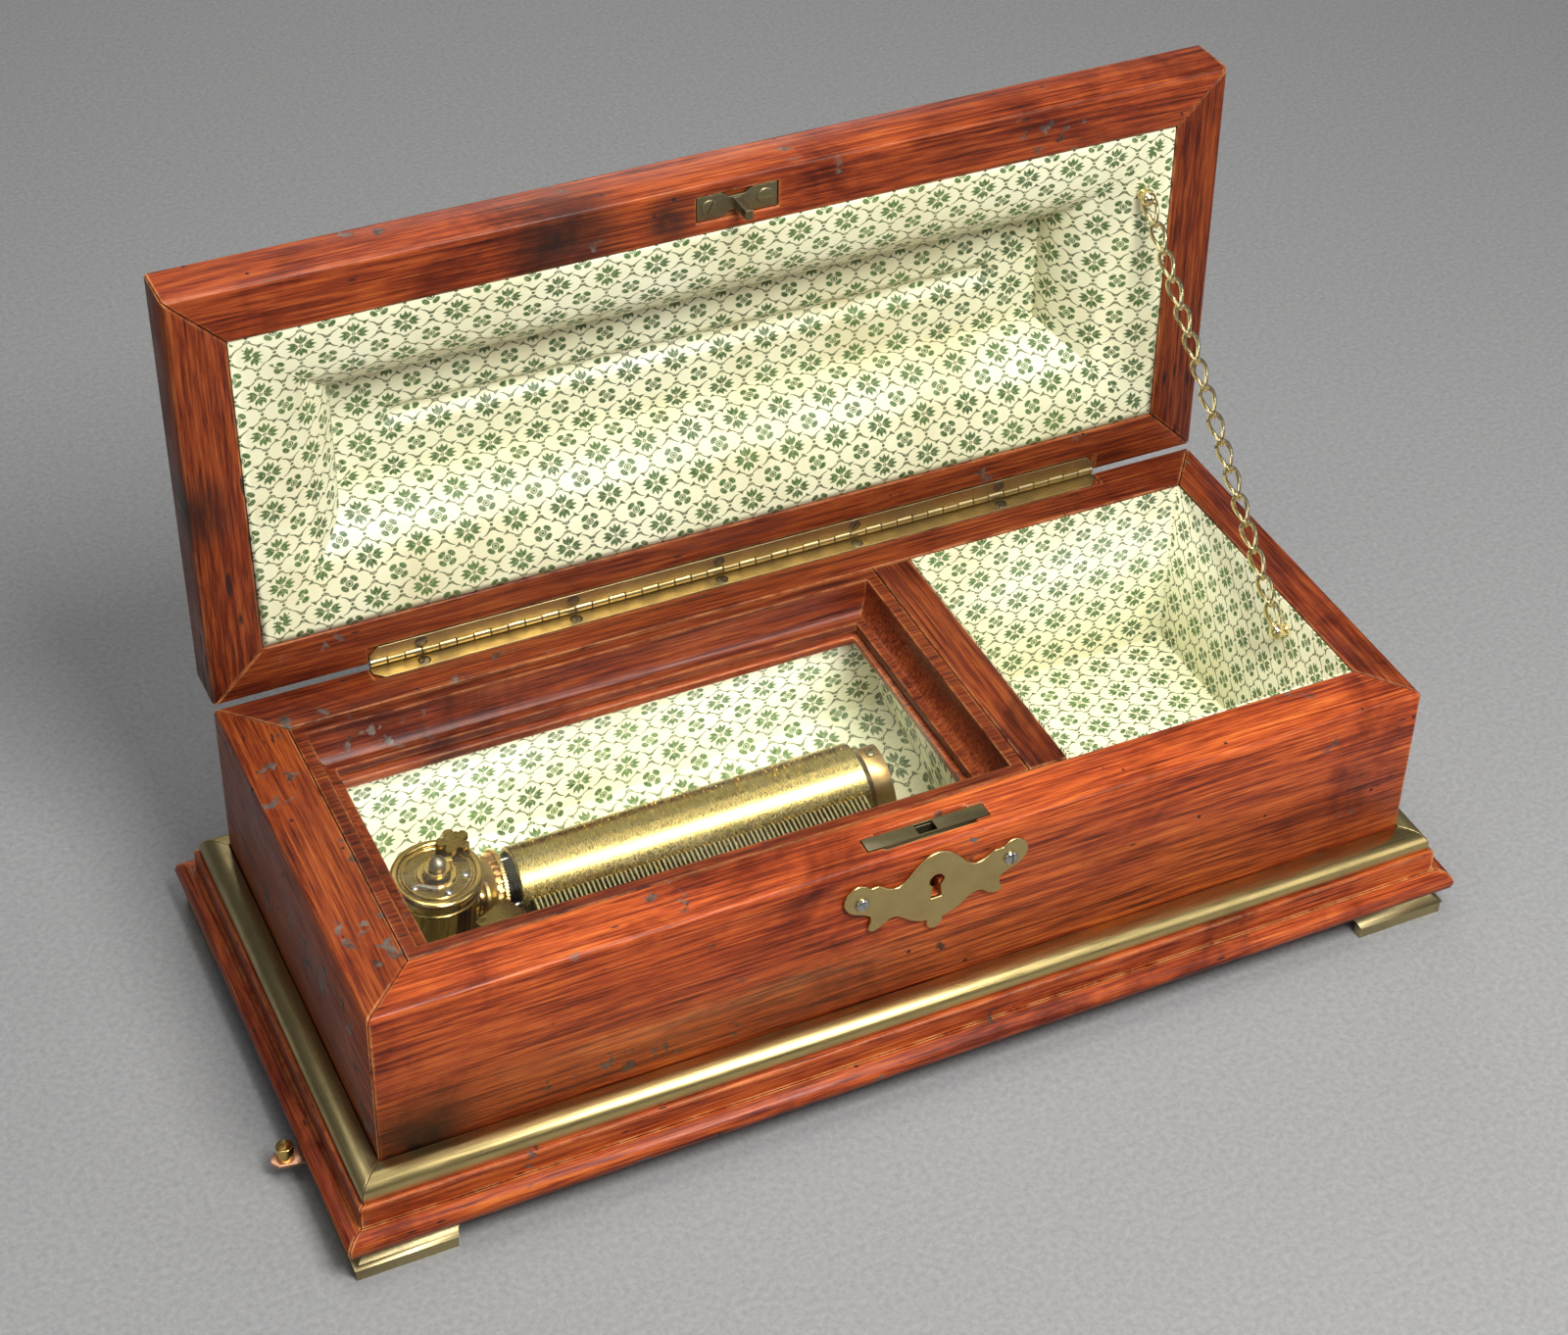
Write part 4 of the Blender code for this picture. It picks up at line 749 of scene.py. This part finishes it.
def pinned_sleeve(material):
    """The brass cylinder: a sleeve with dished ends and pins in tracks a tooth apart."""
    low, high = at(SLEEVE_LEFT, 0, 0).x, span("pinned_cylinder", 0)[1]
    centre = at(0, AXIS_Y, AXIS_Z)
    radius = SLEEVE_RADIUS
    length = (high - low) / MM
    profile = [
        (1.7, 4.2), (8.2, 4.2), (9.0, 3.6), (9.2, 0.5), (9.5, 0.0), (10.3, 0.0), (radius, 0.35),
        (radius, length - 0.35), (10.3, length), (9.5, length), (9.2, length - 0.5), (9.0, length - 3.2),
        (8.2, length - 3.8), (1.7, length - 3.8), (1.7, 4.2),
    ]
    build = Build()
    build.spin(profile, Vector((low, centre.y, centre.z)), (1, 0, 0), 96)
    chance = random.Random(7)
    thick, foot, top = 0.11 * MM, radius - 0.1, radius + 0.5
    for track in range(COMB_TEETH):
        x = CX + (FIRST_TOOTH + track * TOOTH_PITCH + 0.5) * MM
        turn = chance.uniform(0, 2 * pi)
        for _ in range(chance.randint(7, 13)):
            turn += chance.choice((0.10, 0.20, 0.40, 0.60, 0.80))
            place = Vector((x + chance.choice((0, 0, 0.35)) * MM, centre.y, centre.z))
            out = Vector((0, cos(turn), sin(turn)))
            side = out.cross(Vector((1, 0, 0)))
            rows = []
            for far in (foot, top):
                rows.append([
                    place + out * (far * MM) + Vector((a * thick, 0, 0)) + side * (b * thick)
                    for a, b in ((-1, -1), (1, -1), (1, 1), (-1, 1))
                ])
            build.grid(rows, around=True)
            build.cap(rows[1])
    build.finish("pinned_sleeve", material, "cylinder", "brass", ("pinned_cylinder",), angle=30)


def polished_cap(material):
    """The barrel's cap: a dished top inside a rounded lip, over a grooved skirt."""
    x, y = BARREL
    outer, lip = 14.0, 1.6
    profile = [(3.5, 59.7), (13.2, 59.7), (13.8, 59.9), (13.9, 60.4), (13.5, 60.7), (13.5, 61.0)]
    profile.append((outer, 61.3))
    for turn in range(0, 91, 15):
        a = radians(turn)
        profile.append((outer - lip * (1 - cos(a)), 62.4 + lip * sin(a)))
    profile += [(11.9, 63.95), (11.5, 63.6), (11.2, 63.1), (8.0, 62.95), (6.2, 62.95), (6.0, 63.2)]
    profile += [(5.7, 63.5), (4.0, 63.5), (3.6, 63.3), (3.5, 59.7)]
    build = Build()
    build.spin(profile, at(x, y, 0), (0, 0, 1), 96)
    build.finish("polished_cap", material, "barrel", "brass", ("barrel_cap",), angle=40)


def wheel_details(crown_brass, disc_brass, steel, shadow_black):
    """The cylinder wheel: face teeth, a large thin disc with a fine rim, and a hub and the cylinder's end in
    near-black painted shadow.
    """
    axis = (1, 0, 0)
    centre = at(-107.6, AXIS_Y, AXIS_Z)
    bore = ARBOR_CLEAR

    def upright(x, y, z):
        return centre + Vector((z, x, y)) * MM

    def toothed(name, outline, low, high, material, nodes=()):
        build = Build()
        build.prism(outline, low, high, upright)
        build.finish(name, material, "cylinder", "brass", nodes, angle=25)

    def spun(name, profile, origin, sides, material, slot="brass", angle=25):
        build = Build()
        build.spin(profile, origin, axis, sides)
        build.finish(name, material, "cylinder", slot, angle=angle)

    crown = gear(WHEEL_TEETH, 9.3, 10.5, 0.40, 0.7, -pi / 2)
    toothed("cylinder_wheel_crown", crown, -1.7, -0.1, crown_brass, ("cylinder_wheel",))
    dish = [(bore, -3.0), (3.4, -3.0), (3.6, -2.2), (9.0, -2.0), (9.2, -1.75), (bore, -1.75), (bore, -3.0)]
    spun("cylinder_wheel_dish", dish, centre, 64, disc_brass)
    toothed("cylinder_wheel_rim", gear(RIM_TEETH, 10.7, 11.4), 0.1, 1.0, disc_brass)
    hub = [(bore, 1.0), (3.0, 1.0), (2.6, 2.0), (2.6, 5.2), (bore, 5.2), (bore, 1.0)]
    # the hub and the cylinder's end plate take near-black painted shadow
    spun("cylinder_wheel_hub", hub, centre, 32, shadow_black, angle=30)
    end = [(1.7, 0.5), (3.4, 0.5), (3.6, 1.0), (9.1, 1.3), (9.1, 1.9), (1.7, 1.9), (1.7, 0.5)]
    spun("cylinder_end_plate", end, at(SLEEVE_LEFT, AXIS_Y, AXIS_Z), 48, shadow_black)
    rod_reach = 8.0
    for i, turn in enumerate((1.2, 2.9, 5.1)):
        place = centre + Vector((0, rod_reach * cos(turn), rod_reach * sin(turn))) * MM
        rod = [(0, 1.0), (0.5, 1.0), (0.5, 6.4), (0, 6.4)]
        spun(f"cylinder_wheel_rod_{i + 1}", rod, place, 14, steel, "steel", 35)


COMB_BACK, BACK_HEIGHT = -44, 51.5  # the comb plate's back edge and the height of its top there, mm
COMB_SLOPE = 0.122


def comb_height(y):
    """Height of the tilted comb's top at a distance y from the case's centre, in mm."""
    return BACK_HEIGHT + (y - COMB_BACK) * COMB_SLOPE


def tilted_comb(material):
    """The comb's plate and its tapered teeth, rising towards the cylinder, longest at the left."""
    tip, thick = -9.4, 1.0
    longest, shortest, margin = 22, 14, 2.2
    last_tooth = COMB_TEETH - 1
    build = Build()

    def slab(corners):
        rows = [[at(x, y, comb_height(y) - drop) for x, y in corners] for drop in (0, thick)]
        build.grid(rows, around=True)
        build.cap(rows[0])
        build.cap(rows[1])

    for i in range(COMB_TEETH):
        x = FIRST_TOOTH + i * TOOTH_PITCH
        root = tip - longest + (longest - shortest) * i / last_tooth
        slab([(x + 0.08, root - 0.5), (x + 0.92, root - 0.5), (x + 0.78, tip), (x + 0.22, tip)])
    left = FIRST_TOOTH - margin
    right = FIRST_TOOTH + last_tooth * TOOTH_PITCH + 1.0 + margin
    slab([(left, COMB_BACK), (right, COMB_BACK), (right, tip - shortest), (left, tip - longest)])
    build.finish("tilted_comb", material, "case", "steel", ("comb",), angle=25)


def cap_details(brass, steel, dark):
    """Small works on the barrel's cap: a stop finger on the arbor, screws and a click spring."""
    x, y = BARREL
    top = 62.95

    def flat(px, py, pz):
        return at(x + px, y + py, pz)

    finger = Build()
    outline = [(3.9 * cos(a), 3.9 * sin(a)) for a in [radians(d) for d in range(70, 381, 10)]]
    outline += [(5.3, 0.9), (5.3, 2.6), (3.2, 2.9)]
    finger.prism(outline, 64.3, 65.5, flat)
    obj = finger.finish("stop_finger", brass, "winding_arbor", "brass", angle=30)
    rounding(obj, 0.15)
    screw_reach = 8.4
    for i, turn in enumerate((200, 275, 335)):
        place = flat(screw_reach * cos(radians(turn)), screw_reach * sin(radians(turn)), top)
        slotted_screw(
            f"cap_screw_{i + 1}", place, (0, 0, 1), 1.25, steel, "barrel", turn * 0.02, 0.9, slot="steel"
        )
    bar = Build()
    bar.prism([(-7.4, -3.2), (-2.0, -7.0), (-1.4, -6.1), (-6.8, -2.3)], 63.0, 63.9, flat)
    rounding(bar.finish("click_spring", steel, "barrel", "steel"), 0.12)
    face = [(6.4, 62.9), (11.0, 62.9), (11.0, 63.1), (6.4, 63.1), (6.4, 62.9)]
    ring = [(9.9, 62.6), (10.5, 62.6), (10.5, 63.35), (10.3, 63.5), (10.1, 63.5), (9.9, 63.35), (9.9, 62.6)]
    for name, profile, material in (("cap_face", face, dark), ("cap_ring", ring, brass)):
        build = Build()
        build.spin(profile, at(x, y, 0), (0, 0, 1), 72)
        build.finish(name, material, "barrel", "brass", angle=30)


CASE_LEAF_TOP, LID_LEAF_FACE = 88.42, 88.85  # the hinge leaves' outer faces, mm


def piano_hinge(brass, steel):
    """Two strips with clipped corners and alternating knuckles about the pin; returns the strips."""
    x0, x1 = -123.0, 134.5
    knuckles = 45
    pitch = (x1 - x0) / knuckles
    front, clip = 65.2, 3.0
    pivot_y, pivot_z = 71.4, 90.1
    strips = {}
    # body, how places are given, first knuckle, heights of the leaf's faces, how far back it reaches
    leaves = (
        ("case", at, 0, (87.75, CASE_LEAF_TOP), 71.3),
        ("lid", from_shut, 1, (LID_LEAF_FACE, 89.55), 69.6),
    )
    for body, place, first, level, reach in leaves:
        strip = Build()
        outline = [(x0, reach), (x0, front + clip), (x0 + clip, front), (x1 - clip, front),
                   (x1, front + clip), (x1, reach)]
        strip.prism(outline, level[0], level[1], place)
        obj = strip.finish(f"hinge_{body}_strip", brass, body, "brass", (f"hinge_{body}_leaf",))
        rounding(obj, 0.12)
        strips[body] = obj
        curls = Build()
        for i in range(first, knuckles, 2):
            start = x0 + i * pitch + 0.12
            end = start + pitch - 0.24
            if body == "lid":
                tab = [(start, reach - 0.2), (end, reach - 0.2), (end, pivot_y - 1.2), (start, pivot_y - 1.2)]
                curls.prism(tab, level[0], level[1], place)
            profile = [(0.75, start), (1.35, start), (1.55, start + 0.2)]
            profile += [(1.55, end - 0.2), (1.35, end), (0.75, end)]
            curls.spin(profile, at(0, pivot_y, pivot_z), (1, 0, 0), 20)
        curls.finish(f"hinge_{body}_knuckles", brass, body, "brass")
    for i, x in enumerate((x0 + 0.2, x1 - 0.2)):
        end = Build()
        out = -1 if i == 0 else 1
        profile = [(0, -0.5), (0.72, -0.5), (0.72, 0.2), (0.55, 0.45), (0, 0.5)]
        end.spin(profile, at(x, pivot_y, pivot_z), (out, 0, 0), 16)
        end.finish(f"hinge_pin_end_{i + 1}", steel, "case", "steel")
    return strips


# ---------------------------------------------------------------- small fixings

def slotted_screw(name, place, up, radius, material, body, slot_turn=0.3, height=0.8, slot="brass"):
    """A domed screw head with its slot, standing on a surface at place."""
    build = Build()
    rim = height * 0.35
    profile = [(0, -0.6), (radius, -0.6), (radius, rim)]
    profile += [
        (radius * cos(radians(a)), rim + (height - rim) * sin(radians(a))) for a in range(18, 91, 18)
    ]
    build.spin(profile, place, up, 28)
    obj = build.finish(name, material, body, slot, angle=40)
    turn = Vector(up).to_track_quat("Z", "X").to_matrix()
    half = (radius * 1.3, radius * 0.13)
    cutter = Build()
    spin = Matrix.Rotation(slot_turn, 3, "Z")
    outline = [(-half[0], -half[1]), (half[0], -half[1]), (half[0], half[1]), (-half[0], half[1])]

    def lay(x, y, z):
        return place + turn @ spin @ (Vector((x, y, z)) * MM)

    cutter.prism(outline, height * 0.25, height + 1, lay)
    carve(obj, cutter)
    return obj


def carve(obj, cutter):
    """Cuts a Build's shape out of an object."""
    tool = bpy.data.objects.new("cutter", cutter.mesh("cutter"))
    bpy.context.collection.objects.link(tool)
    cut = obj.modifiers.new("cut", "BOOLEAN")
    cut.operation = "DIFFERENCE"
    cut.solver = "EXACT"
    cut.object = tool
    bpy.context.view_layer.update()
    evaluated = obj.evaluated_get(bpy.context.evaluated_depsgraph_get())
    carved = bpy.data.meshes.new_from_object(evaluated)
    obj.modifiers.clear()
    obj.data = carved
    bpy.data.objects.remove(tool)


def fixings(dark_brass, steel, dark_steel, strips):
    """The screws of the hinge, escutcheon, strike plate, right bracket and comb."""
    turns = random.Random(3)
    sunk = 0.34  # how far the hinge screws' seats lie under the leaves' faces, mm
    for i, x in enumerate((-106, -55, -4.4, 44.4, 98)):
        seats = (
            ("case", at(x, 67.9, CASE_LEAF_TOP - sunk), Vector((0, 0, 1))),
            ("lid", from_shut(x, 67.4, LID_LEAF_FACE + sunk), down_shut().normalized()),
        )
        for body, place, up in seats:
            hole = Build()
            hole.spin([(0, -2), (2.1, -2), (2.1, 2), (0, 2)], place, up, 28)
            carve(strips[body], hole)
            slotted_screw(
                f"hinge_{body}_screw_{i + 1}", place, up, 2.0, dark_steel, body, turns.uniform(0, pi), 0.5
            )
    for i, (x, z) in enumerate(((-22.2, 74.7), (27.1, 75.0))):
        front = -HALF_Y - 1.5
        slotted_screw(
            f"escutcheon_pin_{i + 1}", at(x, front, z), (0, -1, 0), 2.3, steel, "case",
            turns.uniform(-0.3, 0.3), 1.5,
        )
    for i, x in enumerate((-9.2, 9.2)):
        slotted_screw(
            f"strike_screw_{i + 1}", from_shut(LOCK_X + x, LOCK_Y, SHUT_RIM + 0.6), tuple(down_shut()), 2.7,
            dark_brass, "lid", turns.uniform(0, pi), 0.6,
        )
    slotted_screw("bracket_screw", at(15.5, AXIS_Y, 59.0), (0, 0, 1), 1.5, dark_brass, "case", 0.5, 0.7)
    for i in range(5):
        place = at(-90 + 24.5 * i, -39.5, comb_height(-39.5))
        slotted_screw(
            f"comb_screw_{i + 1}", place, (0, 0, 1), 2.6, steel, "case", turns.uniform(0, pi), 1.6,
            slot="steel",
        )


def down_shut():
    """The way the shut lid's underside faces, when the lid stands open."""
    return from_shut(0, 0, SHUT_RIM - 10) - from_shut(0, 0, SHUT_RIM)


# ---------------------------------------------------------------- materials on the CAD pieces

def dress_all():
    near_strike = from_shut(-52, -64, SHUT_RIM)
    left_end = from_shut(-172, 0, SHUT_RIM + 4)
    along_x = mahogany("mahogany_long", "x", 1.05, pits=0.22, stains=[(at(-160, -72, 34), 22 * MM)])
    along_y = mahogany("mahogany_end", "y", 0.44, pits=0.15, seed=1)
    wormed = mahogany("mahogany_wormed", "y", 0.52, pits=1.15, seed=2)
    lid_front = mahogany(
        "mahogany_lid_front", "x", 0.70, pits=0.12, seed=3,
        stains=[(near_strike, 24 * MM), (from_shut(-20, -62, SHUT_RIM), 12 * MM)],
    )
    lid_back = mahogany("mahogany_lid_back", "x", 0.42, pits=0.12, seed=8)
    lid_end = mahogany("mahogany_lid_end", "z", 0.42, seed=4, stains=[(left_end, 16 * MM)], slots=True)
    plinth_x = mahogany("mahogany_plinth_long", "x", 0.85, pits=0.2, wear=1.2, seed=5)
    plinth_y = mahogany("mahogany_plinth_end", "y", 0.55, pits=0.3, wear=1.2, seed=6)
    inner_x = mahogany("mahogany_inner", "x", 0.42, pits=0.0, wear=0.6, seed=7)
    dress("front_board", along_x, 0.5)
    dress("back_board", lid_back, 0.5)
    dress("left_end_board", wormed, 0.5)
    dress("right_end_board", along_y, 0.5)
    dress("partition_board", along_y, 0.4)
    dress("glazing_frame", inner_x, 0.4)
    dress("glass_support_frame", inner_x, 0.3)
    dress("base_board", inner_x, 0.3)
    dress("lid_front_rail", lid_front, 0.5)
    dress("lid_back_rail", lid_back, 0.5)
    dress("lid_top_panel", lid_front, 0.4)
    for side in ("left", "right"):
        dress(f"lid_{side}_rail", lid_end, 0.5)
        dress(f"plinth_{side}", plinth_y, 0.35)
    for side in ("front", "back"):
        dress(f"plinth_{side}", plinth_x, 0.35)
    satin = metal("satin_brass", (0.60, 0.46, 0.19), (0.30, 0.23, 0.10), 0.30, 0.30, tooth=0.10)
    satin_end = metal("satin_brass_end", (0.44, 0.35, 0.16), (0.22, 0.18, 0.09), 0.34, 0.5, "y", tooth=0.10)
    hinge_brass = metal("hinge_brass", (0.46, 0.36, 0.17), (0.22, 0.16, 0.08), 0.34, 0.5, tooth=0.12)
    plate = metal("plate_brass", (0.56, 0.43, 0.18), (0.34, 0.25, 0.10), 0.30, 0.4, tooth=0.06)
    dull = metal("dull_brass", (0.26, 0.22, 0.12), (0.12, 0.10, 0.06), 0.40, 0.6, tooth=0.5)
    shaded = metal("shaded_brass", (0.13, 0.10, 0.05), (0.05, 0.04, 0.025), 0.45, 0.6, tooth=0.3)
    bronze = metal("bronze", (0.30, 0.20, 0.07), (0.12, 0.08, 0.035), 0.20, 0.4, tooth=0.05)
    wheel_brass = metal("wheel_brass", (0.62, 0.48, 0.20), (0.36, 0.26, 0.10), 0.32, 0.3, tooth=0.04)
    # near-black brass: painted shadow for the dark gap at the cylinder's left end, used on the wheel's hub
    # and the cylinder's end plate
    shadow_black = metal("painted_shadow_brass", (0.030, 0.024, 0.016), (0.012, 0.010, 0.008), 0.55, 0.5, tooth=0.04)
    ochre = metal("ochre_brass", (0.46, 0.28, 0.10), (0.26, 0.15, 0.055), 0.36, 0.4, tooth=0.05)
    cast = metal("cast_brass", (0.46, 0.38, 0.19), (0.22, 0.17, 0.09), 0.36, 0.5, tooth=1.0)
    polished = metal("polished_brass", (0.64, 0.44, 0.14), (0.40, 0.26, 0.07), 0.13, 0.15, tooth=0.08)
    sleeve = metal("sleeve_brass", (0.42, 0.31, 0.10), (0.26, 0.19, 0.06), 0.25, 0.10, "y", tooth=0.015)
    pale = metal("pale_brass", (0.84, 0.72, 0.42), (0.45, 0.34, 0.15), 0.16, 0.2, tooth=0.08, detail=4)
    steel = metal("steel", (0.46, 0.45, 0.42), (0.20, 0.17, 0.13), 0.24, 0.3)
    # grey steel comb tinted olive-gold: a painted reflection of the brass cylinder over the steel's own
    # colour
    comb_steel_painted_reflection = metal("comb_steel_painted_reflection", (0.48, 0.42, 0.24), (0.20, 0.16, 0.08), 0.36, 0.35, "y", tooth=0.05)
    dark_steel = metal("screw_steel", (0.22, 0.19, 0.13), (0.07, 0.05, 0.04), 0.34, 0.6)
    copper = metal("copper", (0.66, 0.36, 0.22), (0.34, 0.17, 0.10), 0.34, 0.4)
    for node in NODES:
        if "foot" in node:
            dress(node, cast, 0.35)
    for side in ("front", "back"):
        dress(f"brass_moulding_{side}", satin, 0.2)
    for side in ("left", "right"):
        dress(f"brass_moulding_{side}", satin_end, 0.2)
    for node in ("hinge_case_leaf", "hinge_lid_leaf"):
        dress(node, hinge_brass)
    dress("escutcheon", plate, 0.45, 3)
    for node in ("lock_faceplate", "strike_plate", "lock_body"):
        dress(node, dull, 0.15)
    for node in ("bedplate", "comb_base"):
        dress(node, shaded, 0.15)
    for node in ("chain_case_screw", "chain_lid_screw", "lid_chain"):
        dress(node, pale, 0.1)
    for node in (
        "cylinder_bracket_left", "pinned_cylinder", "cylinder_wheel",
        "spring_barrel", "barrel_cap", "governor_wheel", "air_brake_fan", "stop_lever_pin",
    ):
        dress(node, polished, 0.12)
    for node in (
        "hinge_pin", "cylinder_arbor", "mainspring",
        "governor_worm", "stop_detent", "lock_bolt",
    ):
        dress(node, steel, 0.1)
    dress("cylinder_bracket_right", ochre, 0.8, 3)
    dress("stop_work_star", bronze)
    dress("governor_cage", bronze, 0.12)
    dress("winding_arbor", dark_steel, 0.1)
    dress("comb", comb_steel_painted_reflection)
    dress("stop_lever", copper, 0.2)
    dress("glass_pane", pane(), 0.2)
    paper = wallpaper()
    for node in ("left_compartment_lining", "right_compartment_lining"):
        dress(node, paper)
        tray(node, paper)
    dress("lid_lining", paper)
    lid_paper(paper)
    chain(pale)
    pinned_sleeve(sleeve)
    tilted_comb(comb_steel_painted_reflection)
    polished_cap(polished)
    wheel_details(ochre, wheel_brass, steel, shadow_black)
    cap_details(polished, steel, bronze)
    strips = piano_hinge(hinge_brass, steel)
    fixings(dull, steel, dark_steel, strips)


camera()
studio()
dress_all()
